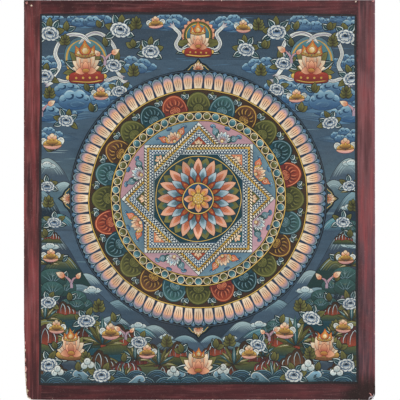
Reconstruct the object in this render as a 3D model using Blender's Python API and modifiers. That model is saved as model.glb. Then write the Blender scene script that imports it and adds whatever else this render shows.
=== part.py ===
"""Painted cotton canvas: one primed sheet, hanging flat by its top edge.

Metres, +Z up. The origin is the middle of the top edge, half way through the cloth.
The painted front faces -Y, and the sheet hangs down to z = -HEIGHT.
"""

import math

import bmesh
import bpy

# The sheet as it was cut and primed
WIDTH = 0.351
HEIGHT = 0.400
THICKNESS = 0.0012
PAINTED_MAROON = (0.150, 0.050, 0.048, 1.0)

# The grid of points that carries the cloth's outline and its unevenness. It is closer at the
# edges than in the middle: at 0 it is even, near 1 all of it is at the edges.
COLUMNS = 40
ROWS = 46
CLOSER_AT_EDGES = 0.62

# How far the worn left edge has drawn in from the straight cut, read downwards
# (height above the bottom edge, depth of wear)
WORN_LEFT_EDGE = (
    (0.0700, 0.0000),
    (0.0550, 0.0004),
    (0.0380, 0.0006),
    (0.0260, 0.0007),
    (0.0150, 0.0014),
    (0.0080, 0.0020),
    (0.0040, 0.0023),
    (0.0000, 0.0034),
)

# The hand-cut bottom and top edges wander a little about a straight line
# (share of the width from the left, how far the edge is drawn in)
BOTTOM_EDGE = (
    (0.000, 0.0027),
    (0.006, 0.0012),
    (0.012, 0.0003),
    (0.060, 0.0000),
    (0.300, 0.0001),
    (0.620, 0.0000),
    (0.880, 0.0001),
    (0.984, 0.0000),
    (0.993, 0.0005),
    (1.000, 0.0016),
)
TOP_EDGE = (
    (0.000, 0.0001),
    (0.180, 0.0001),
    (0.450, 0.0000),
    (0.780, 0.0001),
    (1.000, 0.0000),
)

# The bottom right corner is rubbed round and torn, over this height
TORN_CORNER_HEIGHT = 0.0055
TORN_CORNER_DEPTH = 0.0017

# Soft swells of the hanging cloth. Places are shares of the width from the left and of the
# height from the top, spreads are shares too, and a positive lift comes towards the viewer.
# (across, down, spread across, spread down, lift)
SWELLS = (
    (0.00, 0.42, 0.10, 0.22, 0.0011),
    (0.00, 0.93, 0.12, 0.13, -0.0008),
    (1.00, 0.30, 0.09, 0.18, -0.0009),
    (1.00, 0.72, 0.11, 0.20, 0.0012),
    (0.30, 1.00, 0.16, 0.15, 0.0010),
    (0.68, 1.00, 0.15, 0.13, -0.0009),
    (0.50, 0.55, 0.34, 0.30, 0.0007),
    (1.00, 1.00, 0.05, 0.045, 0.0026),
)

# The cloth is pinned flat along its top edge and eases into its swells below it
PINNED_BAND = 0.070


def between(table, at):
    """The value that a two-column table gives at a place, on straight lines between its rows."""
    rows = sorted(table)
    if at <= rows[0][0]:
        return rows[0][1]
    for (low, low_value), (high, high_value) in zip(rows, rows[1:]):
        if at <= high:
            share = (at - low) / (high - low)
            return low_value + share * (high_value - low_value)
    return rows[-1][1]


def eased(share):
    """0 to 1 with a soft start and end."""
    share = min(1.0, max(0.0, share))
    return share * share * (3.0 - 2.0 * share)


def graded(share):
    """Moves an even share from 0 to 1 so that such shares lie closer near both ends."""
    return share - CLOSER_AT_EDGES * math.sin(2 * math.pi * share) / (2 * math.pi)


def drawn_in(across, down):
    """How far the left, right, top and bottom edges are drawn in, beside this point."""
    above_bottom = (1.0 - down) * HEIGHT
    left = between(WORN_LEFT_EDGE, above_bottom)
    corner = 1.0 - above_bottom / TORN_CORNER_HEIGHT
    right = TORN_CORNER_DEPTH * eased(corner)
    return left, right, between(TOP_EDGE, across), between(BOTTOM_EDGE, across)


def place_in_outline(across, down):
    """x and z of a grid point inside the hand-cut outline."""
    left, right, top, bottom = drawn_in(across, down)
    x_left = -WIDTH / 2 + left
    x_right = WIDTH / 2 - right
    z_top = -top
    z_bottom = -HEIGHT + bottom
    return x_left + across * (x_right - x_left), z_top + down * (z_bottom - z_top)


def lift(across, down):
    """How far the cloth stands towards the viewer at a point."""
    height = 0.0
    for at_across, at_down, spread_across, spread_down, swell in SWELLS:
        reach = ((across - at_across) / spread_across) ** 2 + ((down - at_down) / spread_down) ** 2
        height += swell * math.exp(-reach)
    return height * eased(down * HEIGHT / PINNED_BAND)


def canvas_sheet():
    """The middle surface of the cloth, as a grid of points moved into its outline and swells."""
    bm = bmesh.new()
    bmesh.ops.create_grid(bm, x_segments=COLUMNS, y_segments=ROWS, size=0.5)
    for vert in bm.verts:
        across = graded(vert.co.x + 0.5)
        down = graded(0.5 - vert.co.y)
        x, z = place_in_outline(across, down)
        vert.co = (x, -lift(across, down), z)
    mesh = bpy.data.meshes.new("painted_canvas")
    bm.to_mesh(mesh)
    bm.free()
    mesh.shade_smooth()
    return mesh


def painted_cloth():
    """Maroon distemper on primed cotton, dry and nearly matt."""
    material = bpy.data.materials.new("painted_cloth")
    material.use_nodes = True
    shader = material.node_tree.nodes["Principled BSDF"]
    shader.inputs["Base Color"].default_value = PAINTED_MAROON
    shader.inputs["Roughness"].default_value = 0.82
    shader.inputs["Metallic"].default_value = 0.0
    return material


for old in list(bpy.data.objects):
    bpy.data.objects.remove(old, do_unlink=True)

painting = bpy.data.collections.new("thangka_painting")
bpy.context.scene.collection.children.link(painting)

canvas = bpy.data.objects.new("painted_canvas", canvas_sheet())
canvas.data.materials.append(painted_cloth())
painting.objects.link(canvas)

cloth = canvas.modifiers.new("cloth_thickness", "SOLIDIFY")
cloth.thickness = THICKNESS
cloth.offset = 0.0
cloth.use_even_offset = True
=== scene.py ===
import contextlib
import math

import bmesh
import bpy
import numpy as np
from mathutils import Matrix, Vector
from mathutils.geometry import delaunay_2d_cdt


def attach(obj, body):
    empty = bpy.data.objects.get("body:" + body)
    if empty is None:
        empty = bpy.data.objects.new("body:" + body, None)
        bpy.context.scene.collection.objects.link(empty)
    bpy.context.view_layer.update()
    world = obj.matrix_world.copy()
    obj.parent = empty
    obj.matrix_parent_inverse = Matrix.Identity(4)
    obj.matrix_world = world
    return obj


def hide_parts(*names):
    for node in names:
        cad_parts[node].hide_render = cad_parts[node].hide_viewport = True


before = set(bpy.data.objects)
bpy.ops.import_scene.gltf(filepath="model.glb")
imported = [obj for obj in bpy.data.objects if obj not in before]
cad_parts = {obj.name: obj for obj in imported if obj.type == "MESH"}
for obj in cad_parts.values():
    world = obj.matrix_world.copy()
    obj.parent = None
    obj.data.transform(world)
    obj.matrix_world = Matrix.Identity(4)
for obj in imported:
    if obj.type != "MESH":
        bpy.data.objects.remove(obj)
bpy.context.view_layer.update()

# ---------------------------------------------------------------------------------------------
# Cotton canvas: one cut length of plain-woven cotton, sized and primed on both sides with chalk
# and glue, and aged to a warm cream. It is pinned at its top corners and hangs by its top edge.
# Places on it are in millimetres from the middle of the top edge, x to the right and z up.
# ---------------------------------------------------------------------------------------------

MM = 0.001
CANVAS_WIDTH = 351.0
CANVAS_HEIGHT = 400.0
CANVAS_BACK = 0.60
CANVAS_FRONT = -0.45
CANVAS_PITCH = 6.0
EDGE_STEP = 1.3

# (height above the bottom edge, how far the worn left edge has drawn in)
WORN_LEFT_EDGE = ((0, 3.4), (4, 2.3), (8, 2.0), (15, 1.4), (26, 0.7), (38, 0.6), (55, 0.4), (70, 0))
# (distance from the left, how far the bottom edge is drawn in)
BOTTOM_EDGE = (
    (0, 2.7), (2.1, 1.2), (4.2, 0.3), (21, 0), (105, 0.1), (218, 0), (309, 0.1), (345.4, 0),
    (348.5, 0.5), (351, 1.6),
)
TOP_EDGE = ((0, 0.1), (63, 0.1), (158, 0), (274, 0.1), (351, 0))
TORN_CORNER_HEIGHT = 5.5
TORN_CORNER_DEPTH = 1.7

# Soft swells of the hanging cloth, as shares of its width and height, lifts in millimetres
# (across, down, spread across, spread down, lift)
SWELLS = (
    (0.00, 0.42, 0.10, 0.22, 1.1),
    (0.00, 0.93, 0.12, 0.13, -0.8),
    (1.00, 0.30, 0.09, 0.18, -0.9),
    (1.00, 0.72, 0.11, 0.20, 1.2),
    (0.30, 1.00, 0.16, 0.15, 1.0),
    (0.68, 1.00, 0.15, 0.13, -0.9),
    (0.50, 0.55, 0.34, 0.30, 0.7),
    (1.00, 1.00, 0.05, 0.045, 2.6),
)
PINNED_BAND = 70.0


def eased(share):
    """0 to 1 with a soft start and end."""
    share = np.clip(share, 0.0, 1.0)
    return share * share * (3.0 - 2.0 * share)


def stepped(table, at):
    """What a two-column table gives at a place, on straight lines between its rows."""
    return np.interp(at, [row[0] for row in table], [row[1] for row in table])


def lift(x, z):
    """How far the cloth stands towards the viewer, in millimetres."""
    across = x / CANVAS_WIDTH + 0.5
    down = -z / CANVAS_HEIGHT
    height = np.zeros_like(across)
    for at_across, at_down, spread_across, spread_down, swell in SWELLS:
        reach = ((across - at_across) / spread_across) ** 2 + ((down - at_down) / spread_down) ** 2
        height = height + swell * np.exp(-reach)
    return height * eased(-z / PINNED_BAND)


def cut_edge(inset, rag, rubbed=0.0):
    """The cut outline of the cloth as one closed loop, anticlockwise, drawn in by inset. rag is
    the size of its nicks, and rubbed draws it in further where the left edge is worn."""
    rng = np.random.default_rng(3)
    half = CANVAS_WIDTH / 2

    def nicks(count):
        """Short uneven nicks on slow waves, none at the corners."""
        short = rng.normal(0, 0.6, count)
        slow = np.convolve(rng.normal(0, 0.4, count + 8), np.ones(9) / 3, "valid")
        from_corner = np.minimum(np.arange(count), np.arange(count)[::-1])
        return np.abs(short + slow) * eased(from_corner / 4)

    down = np.linspace(0, 1, int(CANVAS_HEIGHT / EDGE_STEP))
    across = np.linspace(0, 1, int(CANVAS_WIDTH / EDGE_STEP))
    worn = stepped(WORN_LEFT_EDGE, CANVAS_HEIGHT * (1 - down))
    torn = TORN_CORNER_DEPTH * eased(1 - CANVAS_HEIGHT * (1 - down) / TORN_CORNER_HEIGHT)
    left = -half + inset + worn + rag * nicks(len(down)) * (1 + np.minimum(worn, 1.5))
    left = left + rubbed * nicks(len(down)) * np.minimum(worn, 1.8)
    right = half - inset - torn - rag * nicks(len(down))
    top = -inset - stepped(TOP_EDGE, across * CANVAS_WIDTH) - rag * nicks(len(across))
    bottom = inset + stepped(BOTTOM_EDGE, across * CANVAS_WIDTH) + rag * nicks(len(across))
    bottom = bottom - CANVAS_HEIGHT
    sides = (
        (left, top[0] + down * (bottom[0] - top[0])),
        (left[-1] + across * (right[-1] - left[-1]), bottom),
        (right[::-1], (top[-1] + down * (bottom[-1] - top[-1]))[::-1]),
        ((left[0] + across * (right[0] - left[0]))[::-1], top[::-1]),
    )
    return np.vstack([np.column_stack(side)[:-1] for side in sides])


def wound(loop, x, z):
    """How many times a closed loop winds round each point."""
    x0, z0 = loop.T[:, :, None]
    x1, z1 = np.roll(loop, -1, axis=0).T[:, :, None]
    turns = [np.zeros(0, int)]
    for first in range(0, len(x), 20000):
        at_x, at_z = x[first:first + 20000], z[first:first + 20000]
        side = (x1 - x0) * (at_z - z0) - (at_x - x0) * (z1 - z0)
        up = (z0 <= at_z) & (z1 > at_z) & (side > 0)
        down = (z0 > at_z) & (z1 <= at_z) & (side < 0)
        turns.append(up.sum(0) - down.sum(0))
    return np.concatenate(turns)


def filled(loops, pitch, lines=(), seams=((), ())):
    """Triangles inside the first loop and outside the others, with an even sprinkle of points
    pitch apart so that they follow the swells. The edges of the closed lines, and the seams as
    (points, edges), are kept in them."""
    points, edges = [*map(tuple, seams[0])], [*seams[1]]
    for loop in (*loops, *lines):
        first = len(points)
        points.extend(map(tuple, loop))
        edges.extend((first + k, first + (k + 1) % len(loop)) for k in range(len(loop)))
    low, high = loops[0].min(0), loops[0].max(0)
    for row, z in enumerate(np.arange(low[1] + pitch / 2, high[1], pitch)):
        shift = pitch / 2 * (row % 2)
        points.extend((x, z) for x in np.arange(low[0] + 0.37 * pitch + shift, high[0], pitch))
    made = delaunay_2d_cdt([Vector(p) for p in points], edges, [], 0, 1e-3, False)
    places = np.array([tuple(v) for v in made[0]])
    corners = np.array([f for f in made[2] if len(f) == 3])
    middle = places[corners].mean(1)
    inside = wound(loops[0], *middle.T) != 0
    for hole in loops[1:]:
        inside &= wound(hole, *middle.T) == 0
    return places, corners[inside]


def rim_edges(corners):
    """The directed edges that only one triangle has."""
    directed = np.vstack((corners[:, [0, 1]], corners[:, [1, 2]], corners[:, [2, 0]]))
    key = np.sort(directed, axis=1)
    _, first, count = np.unique(key, axis=0, return_index=True, return_counts=True)
    return directed[first[count == 1]]


def on_cloth(places, level):
    """Points in metres at a level in millimetres behind (+) or before (-) the cloth's middle."""
    y = level - lift(places[:, 0], places[:, 1])
    return np.column_stack((places[:, 0], y, places[:, 1])) * MM


def facing(places, corners, side):
    """The triangles, each with its corners in the order that faces it forwards (1) or back (-1)."""
    a, b, c = (places[corners[:, k]] for k in range(3))
    area = (b[:, 0] - a[:, 0]) * (c[:, 1] - a[:, 1]) - (b[:, 1] - a[:, 1]) * (c[:, 0] - a[:, 0])
    wrong = side * area < 0
    corners[wrong] = corners[wrong][:, ::-1]
    return corners


# The bake map: the front nearly fills it, and the back is small beside it
FRONT_SHARE = 0.985 / CANVAS_HEIGHT
FRONT_PLACE = (0.007, 0.007)
BACK_SHARE = 0.105 / CANVAS_WIDTH
BACK_PLACE = (0.885, 0.01)
# Places that agree to this many decimals of a millimetre are one point
SAME_PLACE = 3


def closed_sheet(name, front, front_level, back_level):
    """A closed thin sheet. front is (places, triangles); the back has its own coarse triangles
    on the same rim. The bake map gives most of its room to the front."""
    places, corners = front
    used, corners = np.unique(corners, return_inverse=True)
    places = places[used]
    corners = facing(places, corners.reshape(-1, 3), 1)
    rim = rim_edges(corners)
    follows = dict(rim.tolist())
    loops, left = [], set(follows)
    while left:
        loop, at = [], min(left)
        while at in left:
            left.discard(at)
            loop.append(at)
            at = follows[at]
        loops.append(loop)
    loops.sort(key=lambda loop: -np.ptp(places[loop][:, 0]))
    back_places, back_corners = filled([places[loop] for loop in loops], CANVAS_PITCH)
    # The back has a point behind each of the rim's, and its own points between them
    behind = {k: len(places) + j for j, k in enumerate(sorted(follows))}
    rim_place = {tuple(np.round(places[k], SAME_PLACE)): behind[k] for loop in loops for k in loop}
    numbers, between = [], []
    for place in back_places:
        number = rim_place.get(tuple(np.round(place, SAME_PLACE)))
        if number is None:
            number = len(places) + len(behind) + len(between)
            between.append(place)
        numbers.append(number)
    back_flat = np.vstack((places[sorted(follows)], np.array(between).reshape(-1, 2)))
    points = np.vstack((on_cloth(places, front_level), on_cloth(back_flat, back_level)))
    flat = np.vstack((places, back_flat))
    back_corners = facing(flat, np.array(numbers)[back_corners], -1)
    walls = []
    for i, j in rim.tolist():
        walls += [(j, i, behind[i]), (j, behind[i], behind[j])]
    faces = np.vstack((corners, back_corners, walls))
    mesh = bpy.data.meshes.new(name)
    mesh.from_pydata(points, [], faces.tolist())
    mesh.polygons.foreach_set("use_smooth", np.ones(len(faces), bool))
    bake = mesh.uv_layers.new(name="OFBake")
    place = flat[faces.ravel()] + (CANVAS_WIDTH / 2, CANVAS_HEIGHT)
    uv = place * FRONT_SHARE + FRONT_PLACE
    back = slice(3 * len(corners), 3 * (len(corners) + len(back_corners)))
    uv[back] = place[back] * BACK_SHARE + BACK_PLACE
    bake.data.foreach_set("uv", uv.ravel())
    mesh.validate()
    piece = bpy.data.objects.new(name, mesh)
    bpy.context.scene.collection.objects.link(piece)
    return piece, len(corners)


class Finish:
    """One value in a finish's node tree. Arithmetic on it adds Math nodes."""

    def __init__(self, tree, socket):
        self.tree = tree
        self.socket = socket

    def node(self, kind, settings, sockets, output=0):
        """Any other node: its settings first, then values or links for its sockets."""
        made = self.tree.nodes.new(kind)
        for name, value in settings.items():
            if name == "stops":
                ramp = made.color_ramp
                while len(ramp.elements) < len(value):
                    ramp.elements.new(1.0)
                for element, (at, shade) in zip(ramp.elements, value):
                    element.position = at
                    element.color = shade
            else:
                setattr(made, name, value)
        places = {socket.identifier: socket for socket in made.inputs}
        for name, value in sockets.items():
            if isinstance(value, Finish):
                self.tree.links.new(value.socket, places[name])
            else:
                places[name].default_value = value
        return Finish(self.tree, made.outputs[output])

    def maths(self, operation, first, second=0.0):
        """A Math node on one or two values."""
        sockets = {"Value": first, "Value_001": second}
        return self.node("ShaderNodeMath", {"operation": operation}, sockets)

    def __add__(self, other):
        return self.maths("ADD", self, other)

    __radd__ = __add__

    def __sub__(self, other):
        return self.maths("SUBTRACT", self, other)

    def __rsub__(self, other):
        return self.maths("SUBTRACT", other, self)

    def __mul__(self, other):
        return self.maths("MULTIPLY", self, other)

    __rmul__ = __mul__

    def __pow__(self, other):
        return self.maths("POWER", self, other)

    def sine(self):
        return self.maths("SINE", self)

    def size(self):
        return self.maths("ABSOLUTE", self)

    def held(self):
        """Kept between 0 and 1."""
        return self.node("ShaderNodeClamp", {}, {"Value": self})

    def ramp(self, low, high):
        """0 at low, 1 at high, with soft ends."""
        sockets = {"Value": self, "From Min": low, "From Max": high}
        return self.node("ShaderNodeMapRange", {"interpolation_type": "SMOOTHSTEP"}, sockets)

    def mixed(self, first, second):
        """Two colours, mixed by this value."""
        sockets = {"Factor_Float": self, "A_Color": first, "B_Color": second}
        return self.node("ShaderNodeMix", {"data_type": "RGBA", "blend_type": "MIX"}, sockets, 2)

    def under(self, *layers):
        """This colour with others laid over it in turn, each as (its share, its code)."""
        body = self
        for share, code in layers:
            body = share.mixed(body, colour(code))
        return body

    def bump(self, strength, depth):
        """A surface raised by this value: depth is in metres."""
        return self.node("ShaderNodeBump", {}, {"Height": self, "Strength": strength, "Distance": depth})

    def noise(self, scale, detail=2.0, stretch=(1, 1, 1), seed=0.0):
        """Cloudy noise on this vector, stretched along its axes."""
        spread = self.node(
            "ShaderNodeMapping", {}, {"Vector": self, "Scale": stretch, "Location": (seed, seed, seed)}
        )
        sockets = {"Vector": spread, "Scale": scale, "Detail": detail}
        return self.node("ShaderNodeTexNoise", {}, sockets)


def colour(code):
    """A colour written as six hex digits, as linear red, green, blue and alpha."""
    parts = [int(code[k:k + 2], 16) / 255 for k in (0, 2, 4)]
    return *(p / 12.92 if p < 0.04045 else ((p + 0.055) / 1.055) ** 2.4 for p in parts), 1.0


def new_finish(name):
    """A material with only its Principled shader, the shader node and a start for values."""
    material = bpy.data.materials.new(name)
    material.use_nodes = True
    tree = material.node_tree
    shader = tree.nodes["Principled BSDF"]
    shader.inputs["Specular IOR Level"].default_value = 0.3
    start = Finish(tree, None)
    return material, shader, start


def drive(finish, shader, **sockets):
    """Joins values to the shader's sockets."""
    for name, value in sockets.items():
        finish.tree.links.new(value.socket, shader.inputs[name.replace("_", " ")])


WEAVE_PITCH = 0.00062
WEAVE_TURNS = 2 * math.pi / WEAVE_PITCH


def woven(start):
    """Height of a plain weave, 0 to 1, from the place on the cloth."""
    place = start.node("ShaderNodeTexCoord", {}, {}, "Object")
    drift = place.noise(220.0, 1.0)
    x = start.node("ShaderNodeSeparateXYZ", {}, {"Vector": place}, 0) + drift * 0.0006
    z = start.node("ShaderNodeSeparateXYZ", {}, {"Vector": place}, 2) + drift * 0.0005
    warp = (x * WEAVE_TURNS).sine()
    weft = (z * WEAVE_TURNS).sine()
    over = ((x * (WEAVE_TURNS / 2)).sine() * (z * (WEAVE_TURNS / 2)).sine()).ramp(-0.3, 0.3)
    return place, over * warp.size() + (1 - over) * weft.size()


def primed_cotton():
    """Cream cotton with a thin coat of size: darker where damp and handling have marked it."""
    material, shader, start = new_finish("primed_cotton")
    place, weave = woven(start)
    cloud = place.noise(11.0, 5.0).ramp(0.36, 0.70)
    blot = place.noise(31.0, 3.0, seed=4.2).ramp(0.60, 0.74)
    slub = place.noise(160.0, 2.0, (1, 1, 0.06), 1.7).ramp(0.45, 0.75)
    body = cloud.mixed(colour("d0bb9c"), colour("bb9f7d"))
    body = body.under((blot * 0.55, "7c5a44"), (slub * 0.16, "d9c9ae"), (weave * 0.35, "cfb997"))
    bump = (weave + slub * 0.6).bump(0.75, 0.00012)
    drive(start, shader, Base_Color=body, Normal=bump, Roughness=0.78 + cloud * 0.14)
    return material


canvas_front = filled([cut_edge(0.0, 0.10)], CANVAS_PITCH)
canvas, _ = closed_sheet("cotton_canvas", canvas_front, CANVAS_FRONT, CANVAS_BACK)
canvas.data.materials.append(primed_cotton())
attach(canvas, "root")
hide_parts("painted_canvas")

# ---------------------------------------------------------------------------------------------
# Painted border: a band of maroon distemper brushed along each side, from the cut edge in to the
# dark line ruled round the picture. It is dry, softly streaked and rubbed, stained near-black in
# the lower right corner, and chipped to the ground where pins and handling have worn it.
# ---------------------------------------------------------------------------------------------

# Pigments, and 1 after those that a painter would burnish to a soft gilt
PIGMENTS = {
    "ink": ("161c22", 0), "night": ("22323f", 0), "slate": ("445a6c", 0), "slate_deep": ("374858", 0),
    "mist": ("7c9ca6", 0), "mist_deep": ("4f6b78", 0), "mist_pale": ("9fb7ba", 0),
    "cloud_dark": ("23425f", 0), "cloud_deep": ("305479", 0), "cloud": ("567c99", 0),
    "cloud_pale": ("86aec1", 0), "frost": ("c3d6d8", 0), "white": ("e2e6de", 0), "petal_blue": ("356591", 0),
    "olive": ("5f6235", 0), "olive_deep": ("3a3e26", 0), "olive_pale": ("7f7d47", 0),
    "fir": ("24403f", 0), "fir_pale": ("3f6663", 0),
    "cream": ("efdcbb", 0), "peach": ("eeb48c", 0), "coral": ("dd8a63", 0), "pink": ("c7969a", 0),
    "lilac": ("a795a6", 0), "rust": ("9a4632", 0), "red": ("a83f34", 0), "wine": ("6b2c2b", 0),
    "ochre": ("c9a04a", 1), "gold": ("dcb75a", 1), "orange": ("d07f3c", 0), "brown": ("6b4630", 0),
    "umber": ("3d2d22", 0), "teal": ("2c6069", 0), "teal_deep": ("1e4550", 0), "teal_pale": ("5f97a0", 0),
    "maroon": ("6c3c3d", 0), "maroon_deep": ("472a2c", 0), "soot": ("2c1f1e", 0),
    "ground": ("dcc6b2", 0), "ground_pink": ("cf918c", 0), "ground_grey": ("b9b1b6", 0),
    "bare": ("e9eaf0", 0), "ruled": ("2c2b30", 0),
}


def smooth(points, closed=False, steps=4):
    """A soft curve through given points."""
    p = np.asarray(points, float)
    if closed:
        before, here, after, beyond = np.roll(p, 1, 0), p, np.roll(p, -1, 0), np.roll(p, -2, 0)
    else:
        padded = np.vstack((2 * p[0] - p[1], p, 2 * p[-1] - p[-2]))
        before, here, after, beyond = padded[:-3], padded[1:-2], padded[2:-1], padded[3:]
    t = (np.arange(steps) / steps)[None, :, None]
    before, here, after, beyond = (a[:, None] for a in (before, here, after, beyond))
    curve = 2 * here + (after - before) * t + (2 * before - 5 * here + 4 * after - beyond) * t ** 2
    curve = (curve + (3 * here - before - 3 * after + beyond) * t ** 3) / 2
    curve = curve.reshape(-1, 2)
    return curve if closed else np.vstack((curve, p[-1]))


def both_sides(side, steps=4):
    """A closed outline from its right side, drawn from base to tip, and its mirror image."""
    right = smooth(side, False, steps)
    left = right[::-1] * (-1, 1)
    keep = np.abs(left[:, 0]) > 1e-6
    return np.vstack((right, left[keep]))


def disc(radius, x=0.0, z=0.0, sides=14, squash=1.0):
    """The outline of a round or oval dab."""
    angle = np.arange(sides) * (2 * math.pi / sides)
    return np.column_stack((x + radius * np.cos(angle), z + radius * squash * np.sin(angle)))


def grown(outline, by):
    """The outline moved outwards, or inwards where by is negative."""
    p = np.asarray(outline, float)
    after, before = np.roll(p, -1, 0) - p, p - np.roll(p, 1, 0)
    edge = after / np.maximum(np.linalg.norm(after, axis=1), 1e-9)[:, None]
    edge = edge + before / np.maximum(np.linalg.norm(before, axis=1), 1e-9)[:, None]
    edge /= np.maximum(np.linalg.norm(edge, axis=1), 0.5)[:, None]
    turned = (p[:, 0] * np.roll(p[:, 1], -1) - np.roll(p[:, 0], -1) * p[:, 1]).sum()
    side = 1.0 if turned > 0 else -1.0
    return p + by * side * np.column_stack((edge[:, 1], -edge[:, 0]))


class Painting:
    """Shapes of paint laid one over another, in millimetres, each a fill with its own wash."""

    WANDER = 0.28

    def __init__(self):
        self.shapes = []
        self.place = [np.eye(3)]

    @contextlib.contextmanager
    def at(self, x=0.0, z=0.0, turn=0.0, size=1.0, flip=False, tall=1.0):
        """Lays what follows at a place, turned anticlockwise in degrees, sized, mirrored or drawn
        out tall."""
        c, s = math.cos(math.radians(turn)) * size, math.sin(math.radians(turn)) * size
        side = -1.0 if flip else 1.0
        move = np.array(((c * side, -s * tall, x), (s * side, c * tall, z), (0, 0, 1)))
        self.place.append(self.place[-1] @ move)
        yield
        self.place.pop()

    def scale(self):
        """How much larger things are laid here than they are drawn."""
        return math.sqrt(abs(np.linalg.det(self.place[-1])))

    def moved(self, points):
        """Points as they lie on the cloth."""
        return np.asarray(points, float) @ self.place[-1][:2, :2].T + self.place[-1][:2, 2]

    def laid(self, points):
        """Points as they lie on the cloth, with the slight wander of a hand."""
        p = self.moved(points)
        x, z = p.T
        dx = np.sin(x / 7.1 + z / 11.3 + 1.0) + 0.6 * np.sin(z / 4.3 - x / 13.7) + 0.8 * np.sin(z / 29.0)
        dz = np.sin(z / 6.7 - x / 9.9 + 2.0) + 0.6 * np.sin(x / 4.9 + z / 17.1) + 0.8 * np.sin(x / 31.0)
        return p + self.WANDER * np.column_stack((dx, dz))

    def fill(self, points, pigment, fade=None, start=(0, 0), end=(0, 1)):
        """One shape. Its pigment changes to fade from start to end."""
        self.shapes.append((self.laid(points), pigment, fade or pigment, *self.moved((start, end))))

    def edged(self, points, pigment, fade=None, start=(0, 0), end=(0, 1), width=0.52, edge="ink"):
        """One shape with a brushed outline round it."""
        self.fill(grown(points, width / self.scale()), edge)
        self.fill(points, pigment, fade, start, end)

    def line(self, points, width, pigment, fade=None, thin=(0.35, 0.5), steps=3, curve=True):
        """A brush line that swells and thins; thin gives the shares of its length at each end."""
        p = smooth(points, False, steps) if curve else np.asarray(points, float)
        way = np.gradient(p, axis=0)
        way /= np.maximum(np.linalg.norm(way, axis=1), 1e-9)[:, None]
        share = np.linspace(0, 1, len(p))
        swell = np.ones(len(p))
        if thin[0]:
            swell = np.minimum(swell, 0.18 + (share / thin[0]) ** 0.8)
        if thin[1]:
            swell = np.minimum(swell, 0.12 + ((1 - share) / thin[1]) ** 0.8)
        half = width / 2 / self.scale() * swell[:, None]
        across = np.column_stack((-way[:, 1], way[:, 0])) * half
        self.fill(np.vstack((p - across, (p + across)[::-1])), pigment, fade, p[0], p[-1])

    def ring(self, radius, width, pigment, sides=120):
        """A round band, width wide about its radius."""
        outer = disc(radius + width / 2, sides=sides)
        inner = disc(radius - width / 2, sides=sides)
        self.fill(np.vstack((outer, outer[:1], inner[:1], inner[::-1])), pigment)


def topmost(shapes, middle):
    """The number of the last shape laid over each point, from 1, or 0 where none is."""
    order = np.argsort(middle[:, 0])
    x, z = middle[order].T
    owner = np.zeros(len(order), int)
    for number, (outline, *_) in enumerate(shapes, 1):
        (low_x, low_z), (high_x, high_z) = outline.min(0), outline.max(0)
        first, last = np.searchsorted(x, (low_x, high_x))
        near = first + np.flatnonzero((z[first:last] > low_z) & (z[first:last] < high_z))
        if len(near):
            owner[near[wound(outline, x[near], z[near]) != 0]] = number
    return owner[np.argsort(order)]


# The first net of triangles only finds the seams that show, so it needs few points of its own.
SEAM_PITCH = 60.0
# The back of a film lies this far inside the canvas.
PAINT_SINKS = 0.05


def seams_between(corners, owner):
    """The edges whose two triangles belong to different shapes."""
    edge = np.sort(np.vstack((corners[:, [0, 1]], corners[:, [1, 2]], corners[:, [2, 0]])), axis=1)
    key = edge[:, 0] * (corners.max() + 1) + edge[:, 1]
    order = np.argsort(key, kind="stable")
    whose = np.tile(owner, 3)[order]
    pair = np.flatnonzero((np.diff(key[order]) == 0) & (whose[1:] != whose[:-1]))
    return edge[order[pair]]


def film(name, loops, painting, level, pitch, ground, uneven=0.0):
    """A thin closed film of paint on the cloth. Each corner of its front takes the wash of the
    last shape laid over that place, and only the seams that can be seen stay in its mesh. uneven
    is how much lighter or darker one shape comes out than the next."""
    low, high = loops[0].min(0), loops[0].max(0)
    shapes = [s for s in painting.shapes if (s[0].max(0) > low).all() and (s[0].min(0) < high).all()]
    places, corners = filled(loops, SEAM_PITCH, [shape[0] for shape in shapes])
    seams = seams_between(corners, topmost(shapes, places[corners].mean(1)))
    used, seams = np.unique(seams, return_inverse=True)
    places, corners = filled(loops, pitch, (), (places[used], seams.reshape(-1, 2).tolist()))
    owner = topmost(shapes, places[corners].mean(1))
    piece, front = closed_sheet(name, (places, corners), level, CANVAS_FRONT + PAINT_SINKS)
    mesh = piece.data
    shapes = [(None, ground, ground, (0, 0), (0, 1)), *shapes]
    load = np.random.default_rng(len(shapes)).normal(1.0, uneven, (len(shapes), 1)) ** (1, 1, 1, 0)
    near_wash, far_wash = (
        np.array([(*colour(code)[:3], gilt) for code, gilt in (PIGMENTS[s[end]] for s in shapes)]) * load
        for end in (1, 2)
    )
    start = np.array([s[3] for s in shapes], float)
    way = np.array([s[4] for s in shapes], float) - start
    way /= np.maximum((way ** 2).sum(1), 1e-9)[:, None]
    vertex = np.empty(len(mesh.loops), np.int32)
    mesh.loops.foreach_get("vertex_index", vertex)
    spot = np.empty(3 * len(mesh.vertices))
    mesh.vertices.foreach_get("co", spot)
    spot = spot.reshape(-1, 3)[vertex][:, (0, 2)] / MM
    whose = np.zeros(len(vertex), int)
    whose[:3 * front] = np.repeat(owner, 3)
    share = np.clip(((spot - start[whose]) * way[whose]).sum(1), 0, 1)[:, None]
    wash = near_wash[whose] * (1 - share) + far_wash[whose] * share
    layer = mesh.color_attributes.new("wash", "FLOAT_COLOR", "CORNER")
    layer.data.foreach_set("color", wash.astype(np.float32).ravel())
    return piece


# The inner edge of the border, where the picture starts: (x, z) down the left and up the right
PICTURE_CORNERS = ((-158.3, -15.0), (-159.6, -384.0), (157.6, -382.4), (155.9, -15.8))
PICTURE_BOW = 1.9
FILM_LEVEL = -0.57
BORDER_PITCH = 5.0


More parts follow.
